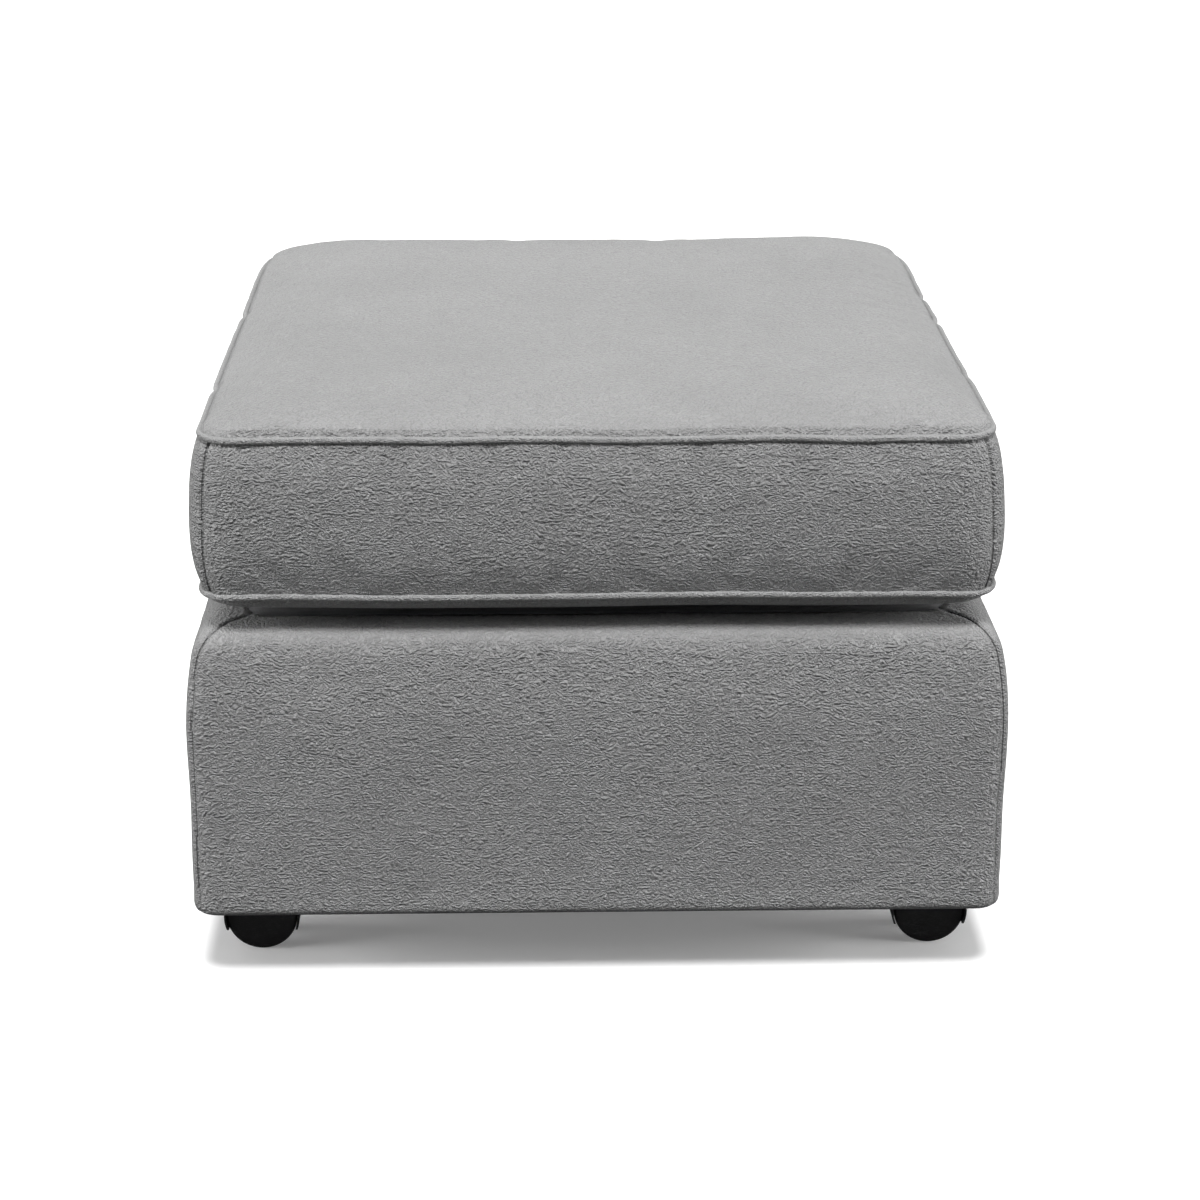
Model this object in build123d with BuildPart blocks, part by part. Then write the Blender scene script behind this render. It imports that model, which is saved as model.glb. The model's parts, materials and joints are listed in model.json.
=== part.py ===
from build123d import *
import os
from math import asin, copysign, cos, hypot, pi, sin, sqrt

# Upholstered ottoman coffee table: a loose box cushion lies on a padded leather base,
# and the base rolls on four twin-wheel casters that hide behind its lower edge.
# Millimetres, +Z up, front towards -Y, origin on the floor under the middle of the base.

os.makedirs("parts", exist_ok=True)

# Clearances
soft_gap = 0.3             # between soft layers, and between the cushion and the deck
running_clearance = 0.05   # radial, of each turning pin in its bore
fastener_clearance = 0.05  # round screw shanks and staple legs
axle_clearance = 0.02      # radial, of the fixed axle in the hood
overrun = 5                # how far a cutting shape passes what it cuts

# Base, outside of the leather
base_width = 672
base_depth = 693
base_bottom = 63
base_top = 311             # crest of the rolled top edge
base_corner_radius = 22
base_bottom_radius = 8
base_leather = 1.4
base_top_return = 50       # how far the leather runs in over the deck's edge
base_bottom_return = 34    # and in under the frame
shoulder_height = 91       # the stretch below the crest in which the sides lean in
shoulder_radius = 325      # of the slow lean
roll_radius = 30           # of the edge above it
roll_steps = 5             # flats that make up its arc

# Frame
padding_thickness = 11.4
ply_thickness = 18
frame_top = 276
block_size = 84
block_height = 40
block_screw_shares = [0.58, 0.85]
brace_height = 70
brace_drop = 50            # from the frame's top edge to the brace
frame_screw_radius = 2.1
frame_screw_length = 40
frame_screw_head_radius = 4
frame_screw_head_height = 2.5

# Deck
edge_roll_reach = 44       # from the base's outer face to the roll's inner face
spring_count = 5
spring_spacing = 110
spring_half_width = 24
spring_runs = 18
spring_wire_radius = 1.8
spring_bend_share = 0.45
spring_drop = 4            # from the frame's top edge to the wire's centre
clip_width = 12
clip_depth = 8
clip_height = 8
insulator_thickness = 3
deck_cloth_thickness = 1.2

# Dust cover
dust_margin = 14
dust_thickness = 0.6
staple_count = 5
staple_span_share = 0.85   # of the dust cover's straight edge that a row of staples takes
staple_crown = 12
staple_wire = 1
staple_bite = 6            # of the legs into the plywood
staple_inset = 8           # from the dust cover's edge

# Casters
caster_inset_x = 68        # stem from the base's side face
caster_inset_y = 92        # stem from the base's front or back face
caster_mount_height = 76   # underside of the corner blocks
caster_trail = 17.6        # axle from the stem's axis
caster_sweep_clearance = 4
wheel_radius = 30
wheel_width = 16
wheel_gap = 7              # from the caster's middle plane to a wheel
wheel_rim = 3.5
wheel_face = 3
wheel_hub_radius = 7
wheel_tread_radius = 2.5
axle_radius = 3
hood_clearance = 0.6
hood_wall = 1.6
hood_side = 1.5            # how far the hood stands out past a wheel's face
hood_web_half = 6.5
hood_drop = 11.5           # from the axle down to the hood's lower edge
hood_collar_radius = 11
plate_size = 42
plate_thickness = 2.5
plate_corner_radius = 4
plate_hole_spacing = 32
plate_hole_radius = 2.2
kingpin_radius = 3.5
kingpin_length = 29.5      # below the plate
plate_screw_radius = 1.75
plate_screw_length = 16
plate_screw_head_radius = 3.2
plate_screw_head_height = 2

# Cushion
cushion_inset_x = 18.5     # welts' outer edges from the base's side faces
cushion_inset_y = 9        # and from its front and back faces
cushion_seam_bottom = 340  # heights of the two welts' centre lines
cushion_seam_top = 470
cushion_corner_radius = 47
cushion_leather = 1.3
welt_radius = 3
boxing_bulge_x = 12        # of the left and right boxing
boxing_bulge_y = 8         # of the front and back boxing
crown_height = 24          # above the upper seam
crown_run_share = 0.42     # way in from the seam to the flat of the crown, of the cushion's lesser half
bottom_run_share = 0.35    # way in from the lower seam to the flat that rests on the deck
face_corner_share = 0.8    # how much rounder the corners get on the way in
# (height, bulge) of the boxing, and (way in, height) of the crown and of the underside
boxing_shares = [(0, 0), (0.55, 1), (1, 0)]
crown_shares = [(0, 0), (0.03, 0.23), (0.09, 0.41), (0.22, 0.63), (0.42, 0.83), (0.68, 0.95), (1, 1)]
bottom_shares = [(0, 0), (0.035, 0.2), (0.105, 0.38), (0.3, 0.61), (0.6, 0.85), (1, 1)]
core_end_gap = 34.5        # from the seams in front and behind to the ends of the foam block
core_bottom = 352
core_top = 458

# Zip in the back boxing
zip_length = 420
zip_height = 12
zip_recess = 1.2           # tape behind the boxing's outer face
zip_tape = 1.2
zip_teeth_height = 5
zip_teeth_depth = 1.3
zip_end_margin = 14        # slider's centre from the end of the opening
slider_length = 11
slider_height = 9
slider_depth = 2.2
slider_edge_radius = 0.8
pull_length = 22
pull_width = 6
pull_thickness = 1.1

sides = {"front": (0, -1), "back": (0, 1), "left": (-1, 0), "right": (1, 0)}
corners = {"front_left": (-1, -1), "front_right": (1, -1), "back_left": (-1, 1), "back_right": (1, 1)}


def save(builder, name):
    """Labels a finished piece and writes it under its name."""
    builder.part.label = name
    export_step(builder.part, f"parts/{name}.step")


def quarter(side, width, depth, reach, bottom, top):
    """Upright wedge that takes one side of a form, bounded by the diagonals through its corners."""
    sx, sy = sides[side]
    far_x, far_y = width / 2 + overrun, depth / 2 + overrun
    near_x, near_y = width / 2 - reach, depth / 2 - reach
    if sx:
        points = [(sx * far_x, -far_y), (sx * far_x, far_y), (sx * near_x, near_y), (sx * near_x, -near_y)]
    else:
        points = [(-far_x, sy * far_y), (far_x, sy * far_y), (near_x, sy * near_y), (-near_x, sy * near_y)]
    with BuildPart() as wedge:
        with BuildSketch(Plane.XY.offset(bottom)):
            with BuildLine():
                Polyline(*points, close=True)
            make_face()
        extrude(amount=top - bottom)
    return wedge.part


# The base's outer form, which the leather, the padding and the edge roll share: each arc of its upright
# section by the centre's way in from the outer face, its height, its radius and the turns of its outlines
shoulder_turn = asin((shoulder_height - roll_radius) / (shoulder_radius - roll_radius))
roll_inset = shoulder_radius - (shoulder_radius - roll_radius) * cos(shoulder_turn)
roll_turns = [shoulder_turn + (pi / 2 - shoulder_turn) * step / roll_steps for step in range(roll_steps + 1)]
base_arcs = [
    (base_bottom_radius, base_bottom + base_bottom_radius, base_bottom_radius, [-pi / 2, -pi / 4, 0]),
    (shoulder_radius, base_top - shoulder_height, shoulder_radius, [0, shoulder_turn / 2]),
    (roll_inset, base_top - roll_radius, roll_radius, roll_turns),
]


def base_form(inset):
    """The base's form, drawn in by inset on every face; only the lower edge tightens its corners."""
    with BuildPart() as form:
        for centre, height, radius, turns in base_arcs:
            for turn in turns:
                inwards = centre - (radius - inset) * cos(turn)
                corner_radius = base_corner_radius - (inwards if turn < 0 else inset * cos(turn))
                with BuildSketch(Plane.XY.offset(height + (radius - inset) * sin(turn))):
                    RectangleRounded(base_width - 2 * inwards, base_depth - 2 * inwards, corner_radius)
        loft(ruled=True)
    return form.part


# Caster places
caster_x = base_width / 2 - caster_inset_x
caster_y = base_depth / 2 - caster_inset_y
hood_inner = wheel_radius + hood_clearance
hood_radius = hood_inner + hood_wall
hood_half_width = wheel_gap + wheel_width + hood_side
caster_sweep = hypot(caster_trail + hood_radius, hood_half_width)
plate_bottom = caster_mount_height - plate_thickness

# Frame places
frame_width = base_width - 2 * (base_leather + 2 * soft_gap + padding_thickness)
frame_depth = base_depth - 2 * (base_leather + 2 * soft_gap + padding_thickness)
frame_bottom = base_bottom + base_leather + soft_gap
inside_x = frame_width / 2 - ply_thickness
inside_y = frame_depth / 2 - ply_thickness
block_x = inside_x - block_size / 2
block_y = inside_y - block_size / 2

# Dust cover places: its corners are cut back clear of the casters' full turn
dust_x = base_width / 2 - dust_margin
dust_y = base_depth / 2 - dust_margin
dust_cut = caster_inset_x + caster_inset_y + sqrt(2) * (caster_sweep + caster_sweep_clearance) - 2 * dust_margin
dust_bottom = base_bottom - dust_thickness


def frame_screw_set(slack):
    """Screws through the plywood into the corner blocks, heads flush, fatter by slack."""
    with BuildPart() as screws:
        for sx, sy in corners.values():
            for share in block_screw_shares:
                height = caster_mount_height + block_height * share
                across = Plane(origin=(sx * frame_width / 2, sy * block_y, height), z_dir=(-sx, 0, 0))
                along = Plane(origin=(sx * block_x, sy * frame_depth / 2, height), z_dir=(0, -sy, 0))
                for entry in (across, along):
                    with BuildSketch(entry):
                        Circle(frame_screw_radius + slack)
                    extrude(amount=frame_screw_length + slack)
                    with BuildSketch(entry):
                        Circle(frame_screw_head_radius + slack)
                    extrude(amount=frame_screw_head_height + slack)
    return screws.part


def plate_screw_set(slack):
    """Shanks and pan heads of the screws that hold the caster plates up against the corner blocks."""
    with BuildPart() as screws:
        for sx, sy in corners.values():
            for upward, radius, length in (
                (1, plate_screw_radius, plate_thickness + plate_screw_length),
                (-1, plate_screw_head_radius, plate_screw_head_height),
            ):
                with BuildSketch(Plane.XY.offset(plate_bottom)):
                    with Locations((sx * caster_x, sy * caster_y)):
                        with GridLocations(plate_hole_spacing, plate_hole_spacing, 2, 2):
                            Circle(radius + slack)
                extrude(amount=upward * (length + slack))
    return screws.part


def staple_set(slack):
    """Staples that hold the dust cover, each a crown and two legs up into the plywood."""
    leg_height = dust_thickness + base_leather + staple_bite
    with BuildPart() as staples:
        for sx, sy in sides.values():
            row_x, row_y = sx * (dust_x - staple_inset), sy * (dust_y - staple_inset)
            straight = 2 * ((dust_x if sy else dust_y) - dust_cut)
            for step in range(staple_count):
                shift = (step / (staple_count - 1) - 1 / 2) * staple_span_share * straight
                place = (row_x + abs(sy) * shift, row_y + abs(sx) * shift)
                turn = 90 * abs(sx)
                with BuildSketch(Plane.XY.offset(dust_bottom)):
                    with Locations(Location(place, turn)):
                        Rectangle(staple_crown + 2 * slack, staple_wire + 2 * slack)
                extrude(amount=-staple_wire)
                with BuildSketch(Plane.XY.offset(dust_bottom)):
                    with Locations(Location(place, turn)):
                        with GridLocations(staple_crown - staple_wire, 0, 2, 1):
                            Rectangle(staple_wire + 2 * slack, staple_wire + 2 * slack)
                extrude(amount=leg_height + slack)
    return staples.part


frame_screw_holes = frame_screw_set(fastener_clearance)
plate_screw_holes = plate_screw_set(fastener_clearance)
staple_holes = staple_set(fastener_clearance)

# Plywood frame: front and back run the full width, the sides butt between them
for side, (sx, sy) in sides.items():
    length = frame_width if sy else 2 * inside_y
    centre = (sx * (frame_width - ply_thickness) / 2, sy * (frame_depth - ply_thickness) / 2)
    with BuildPart() as panel_board:
        with BuildSketch(Plane.XY.offset(frame_bottom)):
            with Locations(centre):
                Rectangle(length if sy else ply_thickness, ply_thickness if sy else length)
        extrude(amount=frame_top - frame_bottom)
        add(frame_screw_holes, mode=Mode.SUBTRACT)
        add(staple_holes, mode=Mode.SUBTRACT)
    save(panel_board, f"frame_{side}")

for corner, (sx, sy) in corners.items():
    with BuildPart() as corner_block:
        with BuildSketch(Plane.XY.offset(caster_mount_height)):
            with Locations((sx * block_x, sy * block_y)):
                Rectangle(block_size, block_size)
        extrude(amount=block_height)
        add(frame_screw_holes, mode=Mode.SUBTRACT)
        add(plate_screw_holes, mode=Mode.SUBTRACT)
    save(corner_block, f"corner_block_{corner}")

with BuildPart() as centre_brace:
    with BuildSketch(Plane.XY.offset(frame_top - brace_drop - brace_height)):
        Rectangle(2 * inside_x, ply_thickness)
    extrude(amount=brace_height)
save(centre_brace, "centre_brace")

with BuildPart() as frame_screws:
    add(frame_screw_set(0))
save(frame_screws, "frame_screws")

# Zigzag springs from the front board to the back board, each end run held in a clip
spring_height = frame_top - spring_drop
spring_end = inside_y - clip_depth / 2
spring_pitch = 2 * spring_end / (spring_runs - 1)
spring_bend = spring_bend_share * spring_pitch
clip_shift = -spring_half_width / 3
spring_places = [(step - (spring_count - 1) / 2) * spring_spacing for step in range(spring_count)]

with BuildPart() as seat_springs:
    for place in spring_places:
        route = []
        for run in range(spring_runs):
            reach = spring_half_width if run % 2 else -spring_half_width
            row = -spring_end + run * spring_pitch
            route += [(place + reach, row, spring_height), (place - reach, row, spring_height)]
        with BuildLine() as wire:
            FilletPolyline(*route, radius=spring_bend)
        with BuildSketch(Plane(origin=wire.line @ 0, z_dir=wire.line % 0)):
            Circle(spring_wire_radius)
        sweep(path=wire.line)
save(seat_springs, "seat_springs")

with BuildPart() as spring_clips:
    for place in spring_places:
        for sy in (-1, 1):
            with BuildSketch(Plane.XY.offset(spring_height - clip_height / 2)):
                with Locations((place + clip_shift, sy * spring_end)):
                    Rectangle(clip_width, clip_depth)
            extrude(amount=clip_height)
            bore = Plane(origin=(place + clip_shift, sy * spring_end, spring_height), z_dir=(1, 0, 0))
            with BuildSketch(bore):
                Circle(spring_wire_radius + fastener_clearance)
            extrude(amount=clip_width, both=True, mode=Mode.SUBTRACT)
save(spring_clips, "spring_clips")

# Deck: felt over the springs, a foam pad inside the edge roll, and a cloth that meets the leather's edge
insulator_bottom = spring_height + spring_wire_radius + soft_gap
pad_bottom = insulator_bottom + insulator_thickness + soft_gap
deck_layers = {
    "spring_insulator": (edge_roll_reach + soft_gap, insulator_bottom, pad_bottom - soft_gap),
    "deck_pad": (edge_roll_reach + soft_gap, pad_bottom, base_top - base_leather - soft_gap),
    "deck_cloth": (base_top_return + soft_gap, base_top - deck_cloth_thickness, base_top),
}
for name, (inwards, bottom, top) in deck_layers.items():
    with BuildPart() as layer:
        with BuildSketch(Plane.XY.offset(bottom)):
            Rectangle(base_width - 2 * inwards, base_depth - 2 * inwards)
        extrude(amount=top - bottom)
    save(layer, name)

# Edge roll and side padding, both to the form under the leather
padding_form = base_form(base_leather + soft_gap)
roll_bottom = frame_top + soft_gap

with BuildPart() as edge_roll:
    add(padding_form)
    with BuildSketch(Plane.XY.offset(base_bottom - overrun)):
        Rectangle(base_width, base_depth)
    extrude(amount=roll_bottom - base_bottom + overrun, mode=Mode.SUBTRACT)
    with BuildSketch(Plane.XY.offset(roll_bottom)):
        Rectangle(base_width - 2 * edge_roll_reach, base_depth - 2 * edge_roll_reach)
    extrude(amount=base_top - roll_bottom, mode=Mode.SUBTRACT)
save(edge_roll, "edge_roll")

with BuildPart() as padding_ring:
    add(padding_form)
    with BuildSketch(Plane.XY.offset(frame_top)):
        Rectangle(base_width, base_depth)
    extrude(amount=base_top - frame_top, mode=Mode.SUBTRACT)
    with BuildSketch(Plane.XY.offset(base_bottom)):
        Rectangle(frame_width + 2 * soft_gap, frame_depth + 2 * soft_gap)
    extrude(amount=frame_top - base_bottom, mode=Mode.SUBTRACT)

# Leather of the base: turned in over the deck and under the frame, open above and below
with BuildPart() as base_cover:
    add(base_form(0))
    add(base_form(base_leather), mode=Mode.SUBTRACT)
    with BuildSketch(Plane.XY.offset(frame_top)):
        Rectangle(base_width - 2 * base_top_return, base_depth - 2 * base_top_return)
    extrude(amount=base_top - frame_top + overrun, mode=Mode.SUBTRACT)
    with BuildSketch(Plane.XY.offset(base_bottom - overrun)):
        Rectangle(base_width - 2 * base_bottom_return, base_depth - 2 * base_bottom_return)
    extrude(amount=base_leather + 2 * overrun, mode=Mode.SUBTRACT)
    add(staple_holes, mode=Mode.SUBTRACT)

for side in sides:
    wedge = quarter(side, base_width, base_depth, base_top_return, base_bottom - overrun, base_top + overrun)
    with BuildPart() as padding:
        add(padding_ring.part)
        add(wedge, mode=Mode.INTERSECT)
    save(padding, f"padding_{side}")
    with BuildPart() as panel:
        add(base_cover.part)
        add(wedge, mode=Mode.INTERSECT)
    save(panel, f"panel_{side}")

# Dust cover, an eight-sided cloth, and its staples
with BuildPart() as dust_cover:
    with BuildSketch(Plane.XY.offset(dust_bottom)):
        with BuildLine():
            Polyline(
                (dust_x - dust_cut, -dust_y), (dust_x, dust_cut - dust_y),
                (dust_x, dust_y - dust_cut), (dust_x - dust_cut, dust_y),
                (dust_cut - dust_x, dust_y), (-dust_x, dust_y - dust_cut),
                (-dust_x, dust_cut - dust_y), (dust_cut - dust_x, -dust_y),
                close=True,
            )
        make_face()
    extrude(amount=dust_thickness)
    add(staple_holes, mode=Mode.SUBTRACT)
save(dust_cover, "dust_cover")

with BuildPart() as dust_cover_staples:
    add(staple_set(0))
save(dust_cover_staples, "dust_cover_staples")

# Casters: a plate, a kingpin through it, a hood that swivels on the pin, an axle and two cup-shaped wheels
with BuildPart() as caster_plate_screws:
    add(plate_screw_set(0))
save(caster_plate_screws, "caster_plate_screws")

with BuildPart() as kingpins:
    with BuildSketch(Plane.XY.offset(caster_mount_height)):
        with Locations([(sx * caster_x, sy * caster_y) for sx, sy in corners.values()]):
            Circle(kingpin_radius)
    extrude(amount=-(plate_thickness + kingpin_length))
save(kingpins, "kingpins")

for corner, (sx, sy) in corners.items():
    stem = (sx * caster_x, sy * caster_y)
    axle_x = stem[0] + sx * caster_trail

    with BuildPart() as caster_plate:
        with BuildSketch(Plane.XY.offset(plate_bottom)):
            with Locations(stem):
                RectangleRounded(plate_size, plate_size, plate_corner_radius)
                Circle(kingpin_radius + fastener_clearance, mode=Mode.SUBTRACT)
                with GridLocations(plate_hole_spacing, plate_hole_spacing, 2, 2):
                    Circle(plate_hole_radius, mode=Mode.SUBTRACT)
        extrude(amount=plate_thickness)
    save(caster_plate, f"caster_plate_{corner}")

    middle = Plane(origin=(axle_x, stem[1], wheel_radius), x_dir=(1, 0, 0), z_dir=(0, -1, 0))
    with BuildPart() as hood:
        with BuildSketch(middle):
            Circle(hood_radius)
        extrude(amount=hood_half_width, both=True)
        with BuildSketch(Plane.XY.offset(wheel_radius)):
            with Locations(stem):
                Circle(hood_collar_radius)
        extrude(amount=plate_bottom - soft_gap - wheel_radius)
        with BuildSketch(Plane.XY.offset(wheel_radius - hood_drop)):
            with Locations((axle_x, stem[1])):
                Rectangle(2 * hood_radius, 2 * hood_half_width)
        extrude(amount=-hood_radius, mode=Mode.SUBTRACT)
        for flank in (-1, 1):
            with BuildSketch(middle.offset(flank * hood_web_half)):
                Circle(hood_inner)
            extrude(amount=flank * hood_half_width, mode=Mode.SUBTRACT)
        with BuildSketch(middle):
            Circle(axle_radius + axle_clearance)
        extrude(amount=hood_half_width, both=True, mode=Mode.SUBTRACT)
        with BuildSketch(Plane.XY.offset(plate_bottom)):
            with Locations(stem):
                Circle(kingpin_radius + running_clearance)
        extrude(amount=-(kingpin_length + soft_gap), mode=Mode.SUBTRACT)
    save(hood, f"caster_hood_{corner}")

    with BuildPart() as axle:
        with BuildSketch(middle):
            Circle(axle_radius)
        extrude(amount=wheel_gap + wheel_width - wheel_face - soft_gap, both=True)
    save(axle, f"axle_{corner}")

    for flank, name in ((-1, "a"), (1, "b")):
        inner = Plane(
            origin=(axle_x, stem[1] + flank * wheel_gap, wheel_radius), x_dir=(1, 0, 0), z_dir=(0, flank, 0)
        )
        with BuildPart() as wheel:
            with BuildSketch(inner):
                Circle(wheel_radius)
            extrude(amount=wheel_width)
            fillet(wheel.edges(), wheel_tread_radius)
            with BuildSketch(inner):
                Circle(wheel_radius - wheel_rim)
                Circle(wheel_hub_radius, mode=Mode.SUBTRACT)
            extrude(amount=wheel_width - wheel_face, mode=Mode.SUBTRACT)
            with BuildSketch(inner):
                Circle(axle_radius + running_clearance)
            extrude(amount=wheel_width - wheel_face, mode=Mode.SUBTRACT)
        save(wheel, f"wheel_{corner}_{name}")

# Cushion outlines, measured outwards from the welts' centre lines
cushion_width = base_width - 2 * cushion_inset_x
seam_width = cushion_width - 2 * welt_radius
seam_depth = base_depth - 2 * (cushion_inset_y + welt_radius)
core_depth = seam_depth - 2 * core_end_gap
belt_bottom = cushion_seam_bottom + welt_radius + soft_gap
belt_top = cushion_seam_top - welt_radius - soft_gap
crown_base = cushion_seam_top + welt_radius + soft_gap
bottom_base = cushion_seam_bottom - welt_radius - soft_gap
crown_rise = cushion_seam_top + crown_height - crown_base
cushion_bottom = base_top + soft_gap
lesser_half = min(seam_width, seam_depth) / 2
back_face = seam_depth / 2 + boxing_bulge_y
zip_centre = (cushion_seam_bottom + cushion_seam_top) / 2
tape_back = back_face - zip_recess - zip_tape


# Where each face leaves its seam, how high or deep it goes from there, its way in, and its shares
faces = {
    "top": (crown_base, crown_rise, crown_run_share * lesser_half, crown_shares),
    "bottom": (bottom_base, cushion_bottom - bottom_base, bottom_run_share * lesser_half, bottom_shares),
}


def face_outlines(face, layer, side):
    """Heights and outlines of a face on the way in to its flat, under a layer of leather, drawn in by side."""
    base, rise, run, shares = faces[face]
    for share, height in shares:
        inwards = run * share
        outline = (
            seam_width - 2 * (side + inwards),
            seam_depth - 2 * (side + inwards),
            cushion_corner_radius - side + face_corner_share * inwards,
        )
        yield base + (rise - copysign(layer, rise)) * height, outline


def belt_outline(bulge, inset):
    """Outline of the boxing where it stands out by that share of its bulge, drawn in by inset."""
    out_x, out_y = boxing_bulge_x * bulge - inset, boxing_bulge_y * bulge - inset
    return seam_width + 2 * out_x, seam_depth + 2 * out_y, cushion_corner_radius + out_y


def belt_form(inset):
    """The space that the boxing goes round, bulged between the two seams."""
    with BuildPart() as form:
        for height, bulge in boxing_shares:
            with BuildSketch(Plane.XY.offset(belt_bottom + (belt_top - belt_bottom) * height)):
                RectangleRounded(*belt_outline(bulge, inset))
        loft()
    return form.part


def face_form(face, layer):
    """The space under the top panel or over the bottom panel, from its seam to its flat."""
    with BuildPart() as form:
        for height, outline in face_outlines(face, layer, layer):
            with BuildSketch(Plane.XY.offset(height)):
                RectangleRounded(*outline)
        loft(ruled=True)
    return form.part


with BuildPart() as filling:
    inset = cushion_leather + soft_gap
    tuck = welt_radius + 2 * soft_gap
    middle, bulge = boxing_shares[1]
    levels = list(face_outlines("bottom", inset, inset))[:0:-1]
    levels += [
        (bottom_base, belt_outline(0, tuck)),
        (belt_bottom, belt_outline(0, tuck)),
        (belt_bottom + (belt_top - belt_bottom) * middle, belt_outline(bulge, inset)),
        (belt_top, belt_outline(0, tuck)),
        (crown_base, belt_outline(0, tuck)),
    ]
    levels += list(face_outlines("top", inset, inset))[1:]
    for height, outline in levels:
        with BuildSketch(Plane.XY.offset(height)):
            RectangleRounded(*outline)
    loft(ruled=True)

# Foam block, open to the boxing at both ends, and the fibre wrapped over, round and under it
with BuildPart() as cushion_core:
    with BuildSketch(Plane.XY.offset(core_bottom)):
        Rectangle(cushion_width, core_depth)
    extrude(amount=core_top - core_bottom)
    add(filling.part, mode=Mode.INTERSECT)
save(cushion_core, "cushion_core")

with BuildPart() as cushion_wrap:
    add(filling.part)
    with BuildSketch(Plane.XY.offset(core_bottom - soft_gap)):
        Rectangle(2 * cushion_width, core_depth + 2 * soft_gap)
    extrude(amount=core_top - core_bottom + 2 * soft_gap, mode=Mode.SUBTRACT)
    with BuildSketch(Plane.XY.offset(zip_centre - zip_height / 2)):
        with Locations((0, tape_back - soft_gap + zip_height / 2)):
            Rectangle(zip_length, zip_height)
    extrude(amount=zip_height, mode=Mode.SUBTRACT)
save(cushion_wrap, "cushion_wrap")

for face in faces:
    with BuildPart() as cover_panel:
        add(face_form(face, 0))
        add(face_form(face, cushion_leather), mode=Mode.SUBTRACT)
    save(cover_panel, f"{face}_panel")

for name, height in (("welt_bottom", cushion_seam_bottom), ("welt_top", cushion_seam_top)):
    with BuildPart() as welt:
        with BuildLine() as seam:
            half_x, half_y = seam_width / 2, seam_depth / 2
            FilletPolyline(
                (0, -half_y, height), (half_x, -half_y, height), (half_x, half_y, height),
                (-half_x, half_y, height), (-half_x, -half_y, height),
                radius=[0] + 4 * [cushion_corner_radius],
                close=True,
            )
        with BuildSketch(Plane(origin=seam.line @ 0, z_dir=seam.line % 0)):
            Circle(welt_radius)
        sweep(path=seam.line)
    save(welt, name)

# Boxing: one strip a side, joined at the corners; the back one is open for the zip
with BuildPart() as boxing_ring:
    add(belt_form(0))
    add(belt_form(cushion_leather), mode=Mode.SUBTRACT)
    with BuildSketch(Plane.XY.offset(zip_centre - zip_height / 2)):
        with Locations((0, back_face)):
            Rectangle(zip_length, 2 * boxing_bulge_y)
    extrude(amount=zip_height, mode=Mode.SUBTRACT)

boxing_span = seam_width + 2 * boxing_bulge_x, seam_depth + 2 * boxing_bulge_y
for side in sides:
    with BuildPart() as boxing:
        add(boxing_ring.part)
        add(quarter(side, *boxing_span, cushion_corner_radius, belt_bottom, belt_top), mode=Mode.INTERSECT)
    save(boxing, f"boxing_{side}")

# Zip: a tape with its teeth along the middle, and the slider with its pull
with BuildPart() as zip_chain:
    with BuildSketch(Plane.XY.offset(zip_centre - zip_height / 2 + soft_gap)):
        with Locations((0, tape_back + zip_tape / 2)):
            Rectangle(zip_length - 2 * soft_gap, zip_tape)
    extrude(amount=zip_height - 2 * soft_gap)
    with BuildSketch(Plane.XY.offset(zip_centre - zip_teeth_height / 2)):
        with Locations((0, tape_back + zip_tape + zip_teeth_depth / 2)):
            Rectangle(zip_length - 2 * soft_gap, zip_teeth_depth)
    extrude(amount=zip_teeth_height)
save(zip_chain, "zip_chain")

slider_x = zip_length / 2 - zip_end_margin
slider_back = tape_back + zip_tape + zip_teeth_depth + soft_gap
with BuildPart() as zip_slider:
    with BuildSketch(Plane.XY.offset(zip_centre - slider_height / 2)):
        with Locations((slider_x, slider_back + slider_depth / 2)):
            Rectangle(slider_length, slider_depth)
    extrude(amount=slider_height)
    fillet(zip_slider.edges().filter_by(Axis.Z), slider_edge_radius)
    with BuildSketch(Plane.XY.offset(zip_centre)):
        with Locations((slider_x, slider_back + slider_depth + pull_thickness / 2)):
            Rectangle(pull_width, pull_thickness)
    extrude(amount=-pull_length)
save(zip_slider, "zip_slider")

print(f"spring bend radius {spring_bend:.1f}, caster sweep radius {caster_sweep:.1f}, dust cover cut {dust_cut:.1f}")
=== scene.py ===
import json
from math import asin, cos, pi, radians, sin

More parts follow.
